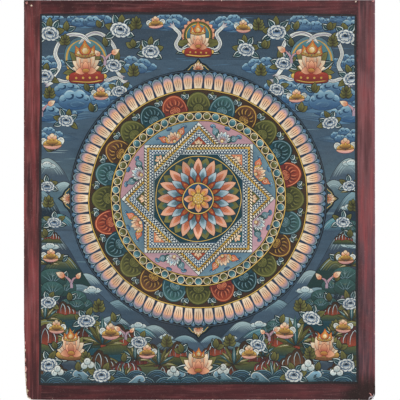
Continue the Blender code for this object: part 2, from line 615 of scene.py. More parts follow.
def picture_edge(out):
    """The hand-ruled edge of the picture, moved out by some millimetres, anticlockwise."""
    a, b, c, d = (np.array(p) for p in PICTURE_CORNERS)
    share = np.linspace(0, 1, 60)[:-1, None]
    wander = 0.22 * np.sin(share * 19.0) + 0.14 * np.sin(share * 47.0)
    sides = []
    for first, last, outwards, bow in (
        (a, b, (-1, 0), 0.0), (b, c, (0, -1), 0.3), (c, d, (1, 0), 0.0), (d, a, (0, 1), PICTURE_BOW)
    ):
        run = first + (last - first) * share
        sides.append(run + np.array(outwards) * (wander + bow * np.sin(share * math.pi)))
    return grown(np.vstack(sides), out)


border_marks = Painting()
MARKS = np.random.default_rng(11)


def chip(x, z, radius, pigment="ground", long=1.0):
    """A flake of lost paint with a broken outline."""
    outline = disc(radius, sides=12)
    with border_marks.at(x, z):
        border_marks.fill(outline * MARKS.uniform(0.76, 1.14, (len(outline), 1)) * (1, long), pigment)


def scratch(x, z, length, width, turn, pigment):
    """A thin rubbed line."""
    with border_marks.at(x, z, turn):
        route = [(0, 0), *zip((0.33 * length, 0.66 * length, length), MARKS.normal(0, 0.06 * length, 3))]
        border_marks.line(route, width, pigment)


# Pin marks in the top corners: (x, z, radius, pigment)
for mark in (
    (-172.9, -3.2, 1.3, "ground_pink"), (-168.0, -5.6, 0.95, "ground"), (-172.7, -3.1, 0.6, "maroon"),
    (156.4, -1.1, 0.9, "ground"), (173.6, -0.9, 0.9, "ground_pink"),
):
    chip(*mark)
# Nicks down the worn left edge: (height above the bottom edge, length, width, pigment)
for above, length, width, pigment in (
    (57.0, 1.6, 0.5, "ground_pink"), (50.0, 1.2, 0.5, "ground"), (46.0, 2.4, 0.5, "soot"),
    (40.0, 2.2, 0.8, "ground_pink"), (30.5, 3.6, 1.5, "ground_pink"), (29.0, 1.3, 0.7, "ground"),
    (23.5, 3.0, 0.9, "ground"), (19.5, 2.6, 1.2, "ground"), (14.0, 3.4, 0.9, "ground_pink"),
    (10.0, 2.4, 1.5, "ground"), (6.5, 2.0, 1.0, "ground"),
):
    edge_x = -CANVAS_WIDTH / 2 + float(stepped(WORN_LEFT_EDGE, above))
    chip(edge_x + 0.55, above - CANVAS_HEIGHT, width, pigment, length / width)
# The torn lower corners, where the primed ground and its threads show along the break: a bare
# flake, then rubbed lines as (x, z, length, width, turn, pigment)
with border_marks.at(173.8, -398.2):
    border_marks.fill([(-2.6, -2.0), (-1.9, 0.2), (-0.3, 1.7), (1.7, 2.4), (1.9, -0.4), (0.6, -2.0)], "bare")
for mark in (
    (-173.2, -394.2, 3.8, 1.3, -48, "ground"), (-171.4, -396.6, 4.6, 1.2, -42, "ground"),
    (-170.6, -395.6, 2.6, 0.5, -70, "soot"), (168.7, -399.7, 8.4, 1.1, 47, "ground_grey"),
    (169.6, -392.7, 4.8, 0.9, -44, "ground_pink"), (170.8, -399.6, 3.4, 0.9, 52, "soot"),
    (172.4, -399.3, 3.0, 0.7, 38, "ground_grey"),
):
    scratch(*mark)
# Small chips where the edge has been handled
EDGE_CHIPS = 70
for _ in range(EDGE_CHIPS):
    side = MARKS.integers(4)
    run = MARKS.uniform(-1, 1)
    down = 197 * run - 200
    x, z = ((-174.9, down), (174.9, down), (173 * run, -0.6), (170 * run, -399.3))[side]
    chip(x, z, MARKS.uniform(0.14, 0.34), "ground_pink" if MARKS.random() < 0.6 else "ground", 1.5)


# Colours of the four bands: the side ones from top to bottom, the others from left to right
LEFT_BAND = (
    (0, "5c3031"), (0.1, "673434"), (0.25, "6a3434"), (0.36, "793b3b"), (0.5, "643333"), (0.63, "5e3434"),
    (0.75, "723c3d"), (0.87, "813d3c"), (0.96, "703536"), (1, "5a2e2e"),
)
RIGHT_BAND = (
    (0, "573d41"), (0.05, "674549"), (0.15, "734e52"), (0.3, "89575a"), (0.42, "764c50"), (0.55, "734d51"),
    (0.65, "60464d"), (0.8, "574248"), (0.93, "5a4047"), (1, "352424"),
)
TOP_BAND = ((0, "3e1f22"), (0.3, "3f1e21"), (0.5, "452427"), (0.75, "4b2a2d"), (1, "513034"))
BOTTOM_BAND = (
    (0, "381d20"), (0.3, "442024"), (0.6, "4a2428"), (0.8, "512a2e"), (0.92, "3d2528"), (1, "281a1a"),
)


# In metres: how far from the middle the side bands start, half the width of that soft join, and
# how deep the grain of the dry paint is
SIDE_BAND_START = 0.1583
JOIN_SOFTNESS = 0.0008
PAINT_GRAIN = 0.00009


def border_distemper():
    """Dry maroon paint in soft streaks along the brush: redder on the left, pinker and dustier on
    the right, browner at top and bottom, with a sooty stain low on the right."""
    material, shader, start = new_finish("border_distemper")
    place, weave = woven(start)
    x = start.node("ShaderNodeSeparateXYZ", {}, {"Vector": place}, 0)
    z = start.node("ShaderNodeSeparateXYZ", {}, {"Vector": place}, 2)
    wander = (place.noise(60.0, 1.0, seed=2.0) - 0.5) * 0.004
    # The side bands run the full height; the top and bottom ones were laid between them.
    from_join = (x + wander * 0.2).size() - SIDE_BAND_START
    upright = from_join.ramp(-JOIN_SOFTNESS, JOIN_SOFTNESS)
    broad = upright * place.noise(130.0, 3.0, (1, 1, 0.09), 1.0)
    broad = broad + (1 - upright) * place.noise(130.0, 3.0, (0.09, 1, 1), 5.0)
    fine = upright * place.noise(560.0, 2.0, (1, 1, 0.05), 2.0)
    fine = fine + (1 - upright) * place.noise(560.0, 2.0, (0.05, 1, 1), 6.0)
    patch = place.noise(34.0, 4.0, (1, 1, 0.6), 9.0)
    smudge = place.noise(90.0, 3.0, seed=4.0)

    def band(share, stops):
        """A band's colour along its length."""
        shades = [(at, colour(code)) for at, code in stops]
        return share.node("ShaderNodeValToRGB", {"stops": shades}, {"Fac": share})

    def from_spot(at_x, at_z, wide, tall):
        """0 at the middle of an oval spot and 1 at its rim."""
        off_x, off_z = (x - at_x) * (1 / wide), (z - at_z) * (1 / tall)
        return (off_x * off_x + off_z * off_z) ** 0.5

    down = z * (-1 / (CANVAS_HEIGHT * MM))
    along = x * (1 / (CANVAS_WIDTH * MM)) + 0.5
    right, low = along.ramp(0.49, 0.51), down.ramp(0.49, 0.51)
    sides = right.mixed(band(down, LEFT_BAND), band(down, RIGHT_BAND))
    ends = low.mixed(band(along, TOP_BAND), band(along, BOTTOM_BAND))
    body = upright.mixed(ends, sides)
    # The streaks are strongest on the left, faintest along the bottom
    force = 0.45 - low * 0.25 + upright * (0.55 + low * 0.25 - right * 0.25)
    selvedge = (x + wander * 0.2).ramp(0.1728, 0.1746) * (1 - down.ramp(0.90, 0.96))
    # The soot stain low on the right, and one at the top left, their edges broken by the strokes
    soot = from_spot(0.176, -0.402, 0.036, 0.030) + (patch - 0.5) * 0.5 + (broad - 0.5) * 0.7
    smoke = from_spot(-0.177, 0.001, 0.014, 0.008) + (patch - 0.5) * 0.4
    dust = place.noise(900.0, 1.0, seed=3.0).ramp(0.60, 0.78)
    body = body.under(
        (patch.ramp(0.50, 0.68) * force * 0.55, "95474a"),
        (patch.ramp(0.50, 0.32) * force * 0.6, "41262a"),
        (smudge.ramp(0.55, 0.75) * 0.20, "8a554c"),
        (broad.ramp(0.50, 0.68) * force * 0.65, "a34a4c"),
        (broad.ramp(0.50, 0.34) * force * 0.68, "3a2124"),
        (fine.ramp(0.52, 0.72) * (0.10 + force * 0.22), "a8686a"),
        (fine.ramp(0.48, 0.30) * (0.10 + force * 0.28), "331e22"),
        (from_join.size().ramp(0.0011, 0.0) * 0.25, "2e2325"),
        (selvedge * 0.5, "985f6c"),
        (soot.ramp(1.15, 0.62) * 0.92, "2b1e1d"),
        (smoke.ramp(1.1, 0.5) * 0.8, "2a1a17"),
        (dust * 0.12, "b99a92"),
    )
    marks = start.node("ShaderNodeAttribute", {"attribute_name": "wash"}, {}, 0)
    marked = start.node("ShaderNodeAttribute", {"attribute_name": "marked"}, {}, 2)
    body = marked.mixed(body, marks)
    bump = (weave * 0.35 + fine * 0.5 + broad * 0.8).bump(0.5, PAINT_GRAIN)
    rough = 0.74 + (1 - fine) * 0.12 + marked * 0.1
    drive(start, shader, Base_Color=body, Normal=bump, Roughness=rough.held())
    return material


border = film(
    "painted_border", [cut_edge(-0.05, 0.08, 0.70), picture_edge(-1.4)], border_marks, FILM_LEVEL,
    BORDER_PITCH, "maroon",
)
marked = border.data.attributes.new("marked", "FLOAT", "FACE")
washes = np.empty(4 * len(border.data.loops), np.float32)
border.data.color_attributes["wash"].data.foreach_get("color", washes)
plain = np.array(colour(PIGMENTS["maroon"][0])[:3], np.float32)
first_corner = washes.reshape(-1, 3, 4)[:, 0, :3]
marked.data.foreach_set("value", (np.abs(first_corner - plain).max(1) > 1e-3).astype(np.float32))
border.data.materials.append(border_distemper())
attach(border, "root")

# ---------------------------------------------------------------------------------------------
# The picture round the medallion: mineral and earth colours bound with glue, laid flat, shaded
# with fine dry strokes and lined with ink. A slate sky with banked clouds runs down through pale
# mist to dark water, nearly the same left and right, with peonies, leaves, lotuses and jewels.
# ---------------------------------------------------------------------------------------------

MIDDLE_X = -1.2
MEDALLION_Z = -198.6
MEDALLION_RADIUS = 129.0
# The field is painted as one, and its film is made in two pieces that meet and lap at this height.
FIELD_SPLIT_Z = -231.0
FIELD_LAP = 0.4
# How far apart the film's own points lie, and how unevenly the brush was loaded from wash to wash
PAINT_PITCH = 8.0
PAINT_UNEVEN = 0.09

picture = Painting()
HAND = np.random.default_rng(5)

# The washes of a cloud: (hooks, foot, body, lobes, rims)
BLUE_CLOUD = ("cloud_dark", "cloud_deep", "cloud", "cloud_pale", "frost")
WHITE_CLOUD = ("slate", "mist_pale", "frost", "white", "white")
GOLD_CLOUD = ("rust", "brown", "ochre", "gold", "cream")


def cloud_head(p, radius, hand=1, washes=BLUE_CLOUD):
    """One swell of cloud: a broad mound with pale lobes along its crest, dark hooks tucked under
    them, and a flat coil of shadow low in its body, which a small swell does without."""
    hook, foot, body, lobe, rim = washes
    mound = [(-1.0, -0.40), (-1.07, -0.02), (-0.80, 0.34), (-0.34, 0.60), (0.22, 0.66), (0.74, 0.42),
             (1.06, 0.0), (0.98, -0.42), (0.45, -0.66), (-0.45, -0.66)]
    crest = [(-0.86, 0.1), (-0.5, 0.62), (0.1, 0.76), (0.66, 0.46)]
    hook_line = [(-0.75, -0.28), (-0.2, -0.56), (0.42, -0.4), (0.5, 0.02), (0.14, 0.12)]
    with p.at(0, 0, 0, radius, hand < 0):
        steps = 2 if p.scale() > 6 else 1
        p.edged(smooth(mound, True, steps), foot, body, (0, -0.6), (0, 0.25), 0.4, "night")
        for x, z, size in ((-0.74, 0.02, 0.28), (0.76, 0.06, 0.25), (0.34, 0.28, 0.38), (-0.32, 0.24, 0.40)):
            with p.at(x, z, -20 * x, size):
                p.fill(disc(1.0, 0, 0, 6 + 3 * steps, 0.86), body, lobe, (0, -0.6), (0, 0.5))
                p.line(crest, 0.28 * p.scale(), lobe, rim, steps=steps)
                p.line(hook_line, 0.36 * p.scale(), foot, hook, thin=(0.5, 0.3), steps=steps)
        if steps == 2:
            with p.at(0.1, -0.34):
                p.fill(disc(0.60, 0, 0, 9, 0.38), foot, body, (0, -0.2), (0, 0.3))
                coil_line = [(0.5, 0.02), (0.1, 0.17), (-0.36, 0.06), (-0.2, -0.12), (0.2, -0.08)]
                p.line(coil_line, 0.07 * p.scale(), lobe, body, steps=2)


# Heads of a bank as shares of its width, back to front: (x, z, radius)
BANK_HEADS = (
    (0.60, 0.03, 0.24), (-0.62, 0.0, 0.24), (0.18, 0.19, 0.30), (-0.30, 0.15, 0.28), (0.40, -0.11, 0.27),
    (-0.12, -0.08, 0.34),
)


def cloud_bank(p, width, hand):
    """A bank of rolled heads on a long soft tail that thins to one side."""
    upper = [(-0.7, -0.05), (0.1, 0.1), (0.8, 0.03), (1.2, -0.05), (1.55, -0.16)]
    lower = [(1.1, -0.24), (0.6, -0.31), (0.1, -0.36), (-0.5, -0.26), (-0.8, -0.14)]
    tail = np.vstack((smooth(upper, steps=3), smooth(lower, steps=3)))
    with p.at(0, 0, 0, width, hand < 0):
        p.edged(tail, "cloud", "slate", (0, 0), (1.5, 0), 0.26, "cloud_dark")
        for share in (0.15, 0.4, 0.65, 0.9):
            stroke = [(0.1 + 0.3 * share, -0.02 - 0.28 * share), (0.6 + 0.2 * share, -0.05 - 0.2 * share),
                      (1.15 + 0.15 * share, -0.07 - 0.13 * share)]
            p.line(stroke, 0.9, "cloud_pale" if share < 0.5 else "cloud_deep", "slate", steps=3)
        for x, z, size in BANK_HEADS:
            with p.at(x, z):
                cloud_head(p, size)


def leaf(p, length, width, kind="olive", bend=0.0):
    """A pointed leaf along +z: olive with a dark rib, or dark green with a frosted rim."""
    side = [(0, 0), (0.34, 0.16), (0.5, 0.42), (0.33, 0.74), (0.0, 1.0)]
    outline = both_sides(side, 2 if length < 14 else 3) * (width, length)
    outline[:, 0] += bend * (outline[:, 1] / length) ** 2 * length
    rib = [(bend * t * t * length, t * length) for t in (0.02, 0.3, 0.6, 0.93)]
    if kind == "olive":
        p.edged(outline, "olive_deep", "olive_pale", (-0.2 * width, 0), (0.5 * width, length), 0.55)
        p.line(rib, 0.42, "umber", "olive_deep", curve=False)
        for share in (0.3, 0.52, 0.72):
            reach = 0.32 * width * (1.1 - share)
            for hand in (-1, 1):
                foot = (bend * share * share * length, share * length)
                p.line([foot, (foot[0] + hand * reach, foot[1] + 0.13 * length)], 0.36, "umber", curve=False)
        return
    p.edged(outline, "teal_deep", "fir", (0, 0), (0, length), 0.7)
    p.line(grown(outline, -0.07 * width)[1:len(outline) // 2 + 1], 0.85, "frost", "white", curve=False)
    p.line(grown(outline, -0.07 * width)[len(outline) // 2 + 1:][::-1], 0.55, "mist", "frost", curve=False)
    p.line(rib, 0.34, "frost", "fir_pale", curve=False)


# Rows of a peony's petals, outer first: (count, reach, petal radius, foot, gap, outline), the
# lengths as shares of its size
PEONY_ROWS = (
    (9, 0.72, 0.35, "cloud_deep", "cloud_dark", "ink"), (6, 0.36, 0.27, "cloud_dark", "night", "cloud_dark"),
)


def peony(p, size):
    """A blue and white peony seen a little from above: rows of round petals about a dark heart,
    each blue at the foot and white at the rim, and a cupped petal in front."""
    with p.at(0, 0, HAND.uniform(-14, 14), size):
        for count, reach, radius, foot, gap, outline in PEONY_ROWS:
            places = []
            for angle in np.arange(count) * (2 * math.pi / count) + HAND.uniform(0, 1):
                middle = (reach * math.sin(angle), 0.64 * reach * math.cos(angle))
                places.append((*middle, -math.degrees(angle), radius * HAND.uniform(0.9, 1.1)))
            for place in places:
                with p.at(*place):
                    p.fill(disc(1 + 0.055 / place[-1], 0, 0, 10, 0.9), outline)
            p.fill(disc(reach + 0.12, 0, 0, 20, 0.66), gap)
            for place in places:
                with p.at(*place):
                    head = disc(0.96, 0, 0, 10, 0.86)
                    p.edged(head, foot, "white", (0, -0.85), (0, 0.55), 0.45, "cloud_deep")
                    crescent = [(-0.66, -0.26), (-0.3, 0.06), (0.3, 0.06), (0.66, -0.26)]
                    p.line(crescent, 0.10 * size, "cloud_dark", "petal_blue", curve=False)
        cup = [(-0.36, 0.02), (-0.28, -0.26), (0, -0.40), (0.28, -0.26), (0.36, 0.02), (0, -0.06)]
        p.fill(disc(0.24, 0, 0.04, 12, 0.7), "night")
        p.edged(smooth(cup, True, 2), "white", "petal_blue", (0, -0.34), (0, 0.02), 0.3, "cloud_dark")


def peony_spray(p, size, leaves):
    """A peony on a fan of leaves, olive and frosted by turns."""
    for number in range(leaves):
        turn = -135 + 270 * (number + 0.5) / leaves + HAND.uniform(-9, 9)
        with p.at(0, 0, turn), p.at(0, 0.56 * size):
            kind = ("fir", "olive")[number % 2]
            leaf(p, size * HAND.uniform(0.95, 1.25), size * 0.68, kind, HAND.uniform(-0.2, 0.2))
    peony(p, size)


def lotus(p, size, warm=True):
    """An open lotus seen from the side: a fan of pointed petals over a rust cup."""
    tip, middle, foot, inner_tip, edge, vein = (
        ("cream", "peach", "rust", "peach", "wine", "red") if warm
        else ("white", "cloud_pale", "petal_blue", "frost", "ink", "petal_blue")
    )
    petal_shape = both_sides([(0, 0), (0.20, 0.18), (0.25, 0.48), (0.14, 0.80), (0, 1.0)], 3)
    for turn, long in ((-78, 0.78), (78, 0.78), (-54, 0.92), (54, 0.92), (-28, 1.02), (28, 1.02), (0, 1.1)):
        with p.at(0, 0, turn, size * long):
            p.edged(petal_shape, foot, tip, (0, 0.05), (0, 0.85), 0.36, edge)
            p.fill(petal_shape * (0.55, 0.72) + (0, 0.04), foot, middle, (0, 0.05), (0, 0.6))
            for x in (-0.05, 0.05):
                p.line([(x * 0.6, 0.2), (x, 0.62)], 0.24, vein, tip, steps=2)
    for turn in (-100, 100, -30, 30, 0):
        with p.at(0, 0.02 * size, turn, size * (0.5 if abs(turn) < 90 else 0.6)):
            p.edged(petal_shape * (1.35, 1), "red", inner_tip, (0, 0), (0, 0.95), 0.32, "wine")
    with p.at(0, 0, 0, size):
        p.edged(disc(0.2, 0, -0.02, 12, 0.6), "rust", "ochre", (0, -0.15), (0, 0.15), 0.3)


def cushion(p, size):
    """A plump red cushion with a gilt braid and knots at its ends."""
    body = [(-1.0, 0.02), (-0.92, -0.30), (-0.45, -0.37), (0, -0.40), (0.45, -0.37), (0.92, -0.30),
            (1.0, 0.02), (0.86, 0.26), (0.4, 0.32), (0, 0.34), (-0.4, 0.32), (-0.86, 0.26)]
    braid = [(-0.9, -0.2), (-0.4, -0.27), (0, -0.29), (0.4, -0.27), (0.9, -0.2)]
    with p.at(0, 0, 0, size):
        for side in (-1, 1):
            p.edged(disc(0.13, 1.04 * side, 0.02, 10), "ochre", "gold", (0, -0.1), (0, 0.1))
        p.edged(smooth(body, True, 3), "wine", "red", (0, -0.35), (0, 0.3), 0.4)
        p.line(braid, 0.9, "gold", "ochre", thin=(0.1, 0.1))
        for x in (-0.6, -0.2, 0.2, 0.6):
            p.fill(disc(0.07, x, -0.04, 8), "ochre")
            p.line([(x - 0.12, 0.16), (x, 0.24), (x + 0.12, 0.16)], 0.4, "orange", steps=2)


def jewel(p, size):
    """Three flaming jewels on a gilt crescent."""
    flame = both_sides([(0, -0.1), (0.34, 0.02), (0.42, 0.34), (0.20, 0.66), (0.10, 0.84), (0, 1.12)], 3)
    for x, z, turn, share in ((-0.46, 0.02, 24, 0.78), (0.46, 0.02, -24, 0.78), (0, 0.18, 0, 1.0)):
        with p.at(x * size, z * size, turn, size * share):
            p.edged(flame * (1.25, 1.12), "red", "orange", (0, 0), (0, 1.0), 0.36, "wine")
            p.fill(flame * (0.92, 0.86), "orange", "gold", (0, 0), (0, 0.9))
            p.edged(disc(0.25, 0, 0.24, 12, 1.1), "ochre", "cream", (-0.15, 0.1), (0.1, 0.45), 0.3, "brown")
            p.line([(-0.12, 0.62), (0, 0.86), (0.02, 1.02)], 0.3, "red", "rust", steps=2)
    bowl = [(-0.95, 0.16), (-0.5, -0.16), (0, -0.24), (0.5, -0.16), (0.95, 0.16), (0.45, 0.06), (0, 0.02),
            (-0.45, 0.06)]
    with p.at(0, 0, 0, size):
        p.edged(smooth(bowl, True, 3), "brown", "gold", (0, -0.25), (0, 0.15), 0.36)
        for x in (-0.55, -0.28, 0, 0.28, 0.55):
            p.fill(disc(0.05, x, 0.14 * abs(x) - 0.07, 7), "red" if x else "teal")


def scarf(p, route, width):
    """A silk scarf blown about: ink, a white body with folds drawn along it, and a flared end."""
    path = smooth(route, False, 6)
    way = path[-1] - path[-2]
    turn = math.degrees(math.atan2(way[1], way[0])) - 90
    with p.at(*path[-1], turn, width / p.scale()):
        flare = np.array([(-0.35, -0.9), (-0.5, 0.5), (-1.05, 1.9), (-0.3, 1.3), (0.1, 2.2), (0.45, 1.2),
                          (1.1, 1.7), (0.5, 0.5), (0.35, -0.9)])
        p.edged(flare, "white", "lilac", (0, 0), (0, 2), 0.4)
        for x in (-0.45, 0.12, 0.5):
            p.line([(0.3 * x, 0.1), (x, 1.3)], 0.34, "slate", curve=False)
    p.line(path, width + 0.9, "ink", curve=False, thin=(0.12, 0))
    p.line(path, width, "white", curve=False, thin=(0.12, 0))
    across = np.gradient(path, axis=0)
    across /= np.maximum(np.linalg.norm(across, axis=1), 1e-9)[:, None]
    across = np.column_stack((-across[:, 1], across[:, 0])) * width / p.scale()
    share = np.linspace(0, 1, len(path))[:, None]
    bends = np.sin(share * math.pi * (len(route) - 1))
    p.line(path + across * 0.20 * bends, 0.34 * width, "lilac", "white", curve=False, thin=(0.3, 0.3))
    for off, breadth in ((-0.16, 0.36), (0.17, 0.3)):
        p.line(path + across * off, breadth, "slate", curve=False, thin=(0.1, 0.1))


def small_cloud(p, width):
    """A short heap of rolled white heads over a thin pale wisp."""
    with p.at(0, 0, 0, width):
        for hand in (-1, 1):
            wisp = [(hand, 0.05), (0.3 * hand, -0.1), (-0.4 * hand, 0)]
            p.line(wisp, 0.16 * p.scale(), "mist_pale", "cloud_pale", thin=(0.5, 0.6))
        for x, z, radius in ((-0.50, 0.08, 0.34), (0.52, 0.08, 0.32), (0.02, 0.24, 0.44)):
            with p.at(x, z):
                cloud_head(p, radius, HAND.choice((-1, 1)), WHITE_CLOUD)


def sprig(p, size):
    """Two or three leaves on a short stem."""
    for turn, kind in ((-52, "olive"), (38, "fir"), (-8, "olive"))[HAND.integers(2):]:
        with p.at(0, 0, turn + HAND.uniform(-15, 15)):
            leaf(p, size * HAND.uniform(1.1, 1.4), 0.78 * size, kind, HAND.uniform(-0.15, 0.15))


def bud(p, size, hand):
    """A pink bud and its smaller neighbour on a thick forked lilac stem."""
    tear = both_sides([(0, -0.1), (0.30, 0.14), (0.26, 0.52), (0, 0.92)], 3) * 0.6
    with p.at(0, 0, 0, size):
        for route, width in (
            ([(0, -0.1), (0.05, 0.35), (0.5, 0.80)], 2.6), ([(0.02, 0.2), (-0.12, 0.5), (-0.36, 0.62)], 1.9)
        ):
            stem = np.array(route) * (hand, 1)
            p.line(stem, width + 0.8, "ink", thin=(0, 0.5), steps=3)
            p.line(stem, width, "lilac", "pink", thin=(0, 0.5), steps=3)
        for x, z, turn, share in ((0.5, 0.72, -62, 1.0), (-0.40, 0.58, 38, 0.8)):
            with p.at(hand * x, z, hand * turn, share):
                p.edged(tear, "coral", "cream", (0, 0), (0, 0.36), 0.36, "wine")
                for lean in (-0.09, 0, 0.09):
                    p.line([(0.5 * lean, 0.06), (lean, 0.36)], 0.36, "rust", steps=2)


def feathered_leaf(p, size):
    """A broad olive leaf of paired leaflets on one rib, with lit edges."""
    blade = both_sides([(0, 0), (0.26, 0.2), (0.33, 0.48), (0.2, 0.8), (0, 1.0)], 1)
    with p.at(0, 0, 0, size):
        for z, turn in ((0.10, 60), (0.10, -60), (0.34, 53), (0.34, -53), (0.58, 47), (0.58, -47), (0.62, 0)):
            with p.at(0, z, turn, 0.62 - 0.22 * z):
                p.edged(blade, "olive_deep", "olive_pale", (-0.1, 0), (0.3, 1), 0.5)
                p.line([(0, 0.05), (0, 0.85)], 0.4, "umber", "olive_deep", curve=False)
        p.line([(0, -0.15), (0.02, 0.3), (0, 0.9)], 0.6, "umber", curve=False)


def gold_offering(p, size):
    """A swirl of gold cloud heaped with peaches, on a pink dish, with a white shell on each side."""
    shell = disc(0.36, sides=11, squash=1.1)
    dish = [(-0.95, -0.12), (-0.6, -0.42), (0, -0.52), (0.6, -0.42), (0.95, -0.12), (0, -0.24)]
    with p.at(0, 0, 0, size):
        for hand in (-1, 1):
            with p.at(0.86 * hand, 0.30, -24 * hand):
                p.edged(shell, "mist_pale", "white", (0, -0.4), (0, 0.1), 0.5)
                for share in (0.8, 0.45):
                    p.line(share * 0.8 * shell[:6], 0.45, "ink", curve=False)
        for x, z, radius in ((-0.44, 0.10, 0.46), (0.44, 0.10, 0.46), (0, 0.34, 0.56)):
            with p.at(x, z):
                cloud_head(p, radius, 1 if x <= 0 else -1, GOLD_CLOUD)
        for x, z in ((-0.26, 0.72), (0.26, 0.72), (0, 0.92)):
            p.edged(disc(0.22, x, z, 10), "coral", "cream", (0, 0.5), (0, 1.0), 0.36, "brown")
        p.edged(smooth(dish, True, 2), "pink", "peach", (0, -0.5), (0, -0.1), 0.4, "wine")
        for x in (-0.5, -0.17, 0.17, 0.5):
            p.line([(x, -0.46), (1.2 * x, -0.24)], 0.4, "wine", curve=False)


def hill(p, width, height, crest, foot):
    """A far hill: pale along its crest, deep at its foot, with contour strokes."""
    back = [(-1.02, -1.9), (-0.60, -0.35), (-0.42, 0.25), (-0.22, 0.76), (0.02, 1.0), (0.27, 0.8),
            (0.45, 0.3), (0.62, -0.3), (1.06, -1.9)]
    back = smooth(back, False, 4) * (width, height)
    p.line(back, 1.1, "ink", thin=(0.45, 0.45), curve=False)
    p.fill(back, foot, crest, (0, 0.0), (0, 0.95 * height))
    for share, pigment in ((0.88, "mist_pale"), (0.74, crest), (0.58, crest), (0.42, "mist_deep")):
        ridge = back[6:-6:2] * (share, share + 0.06) - (0, 0.05 * height)
        p.line(ridge, 0.3 + 0.6 * share, pigment, crest, curve=False)


# A crag's slabs, back to front: (x, height, half width) as shares of its size
SLABS = ((-0.72, 0.55, 0.30), (0.74, 0.5, 0.30), (-0.38, 0.88, 0.33), (0.42, 0.8, 0.32), (0.02, 1.15, 0.36))


def crag(p, size, low, high):
    """A rock of upright slabs, red at the foot, with white-lined tongues on it and turf before it."""
    turf = [(-1.35, -0.42), (-1.1, -0.06), (-0.62, 0.08), (-0.2, -0.02), (0.3, 0.12), (0.84, 0.02),
            (1.2, -0.12), (1.42, -0.44)]
    with p.at(0, 0, 0, size):
        for x, tall, wide in SLABS:
            with p.at(x, 0):
                arch = [(-1, -0.2 / tall), (-1.05, 0.5), (-0.66, 0.88), (0, 1), (0.7, 0.84), (1.05, 0.45),
                        (1, -0.2 / tall)]
                p.edged(smooth(arch, False, 2) * (wide, tall), low, high, (0, 0), (0, 0.75 * tall), 0.42)
                tongue = [(-0.5, 0.1 / tall), (-0.5, 0.5), (0, 0.82), (0.5, 0.46), (0.46, 0.1 / tall)]
                p.line(np.array(tongue) * (wide, tall), 0.62, "frost", "mist", steps=2)
                p.line([(-0.1 * wide, 0.05), (0, 0.55 * tall)], 0.5, "maroon_deep", curve=False)
        p.edged(smooth(turf, False, 2), "fir", "olive", (0, -0.4), (0, 0.1), 0.4)
        for x in (-1.0, -0.55, -0.1, 0.4, 0.9):
            p.line([(x, -0.36), (x + 0.08, 0)], 0.45, "olive_pale", "olive", curve=False)


def tree(p, size):
    """A round-headed tree of dark needles on a pale trunk with spread roots."""
    with p.at(0, 0, 0, size):
        for x in (-0.35, -0.14, 0.1, 0.33):
            p.line([(0, -0.1), (0.4 * x, -0.45), (x, -0.8)], 1.7, "lilac", "umber", thin=(0, 0.8), steps=2)
        for x, z, radius in ((-0.52, 0.02, 0.5), (0.52, 0.0, 0.5), (0, 0.42, 0.6), (0, -0.05, 0.5)):
            with p.at(x, z):
                p.edged(disc(radius, sides=18, squash=0.72), "fir", "fir_pale", (0, -0.3), (0, 0.5), 0.4)
                for turn in range(-80, 81, 16):
                    a = math.radians(turn)
                    tip = (0.9 * radius * math.sin(a), 0.62 * radius * math.cos(a))
                    needle = [(0.2 * tip[0], 0.1 * tip[1] - 0.12), tip]
                    p.line(needle, 0.5, "night" if turn % 32 else "mist", thin=(0, 0.5), curve=False)
                for lean in (-2, -1, 0, 1, 2):
                    needle = [(0, 0.16 * radius), (0.11 * lean, (0.56 - 0.05 * abs(lean)) * radius)]
                    p.line(needle, 0.7, "frost" if z > 0.1 else "olive_pale", "mist", curve=False)


# The washes of a tuft's blades by turns: (foot, tip, rib)
TUFT_WASHES = (
    ("olive_deep", "olive_pale", "cream"), ("umber", "olive", "olive_pale"), ("teal_deep", "fir_pale", "frost"),
)
TUFT_BLADES = 11


def spiked_tuft(p, size):
    """A tuft of broad pointed blades that arch apart, olive, brown and blue-green, with pale ribs.
    The outer ones are laid first."""
    for number in sorted(range(TUFT_BLADES), key=lambda n: -abs(n - (TUFT_BLADES - 1) / 2)):
        lean = number / (TUFT_BLADES - 1) - 0.5
        foot, tip, rib = TUFT_WASHES[number % 3]
        with p.at(0, 0, -150 * lean + HAND.uniform(-4, 4), size):
            tall = (1.1 - 0.5 * abs(lean)) * HAND.uniform(0.9, 1.1)
            blade = both_sides([(0, 0), (0.10, 0.3), (0.09, 0.6), (0, 1.0)], 2)
            blade[:, 0] += 0.55 * lean * blade[:, 1] ** 2
            p.edged(blade * (1, tall), foot, tip, (0, 0), (0, tall), 0.42)
            rib_line = [(0, 0.15 * tall), (0.14 * lean, 0.5 * tall), (0.4 * lean, 0.86 * tall)]
            p.line(rib_line, 0.5, rib, curve=False)


def white_jewels(p, size):
    """Three white jewels in a heap."""
    with p.at(0, 0, 0, size):
        for x, z in ((-0.52, 0), (0.52, 0), (0, 0.62)):
            with p.at(x, z):
                p.edged(disc(0.52, sides=14), "mist_pale", "white", (0, -0.5), (0, 0.2), 0.5)
                p.line([(-0.2, 0.12), (0.08, 0.2), (0.2, -0.05), (0, -0.18)], 0.45, "slate", steps=2)


# The water reaches this far either way, under the border's edge
WATER_SPAN = 165


def wave_row(p, z, pitch, shift):
    """A row of round-backed waves with pale crest lines."""
    count = int(WATER_SPAN / pitch) + 1
    crest = np.array([(math.cos(a), 0.8 * math.sin(a)) for a in (0.35, 0.8, 1.25, 1.7, 2.2, 2.75)])
    for number in range(-count, count + 1):
        with p.at((number + shift) * pitch, z, 0, 0.56 * pitch):
            p.fill(disc(1, sides=18, squash=0.8), "night", "teal_deep", (0, -0.4), (0, 1))
            for share, pigment in ((0.93, "mist"), (0.74, "cloud"), (0.56, "mist_deep"), (0.38, "cloud")):
                width = 0.42 if share < 0.9 else 0.6
                p.line(share * crest, width, pigment, thin=(0.3, 0.3), curve=False)


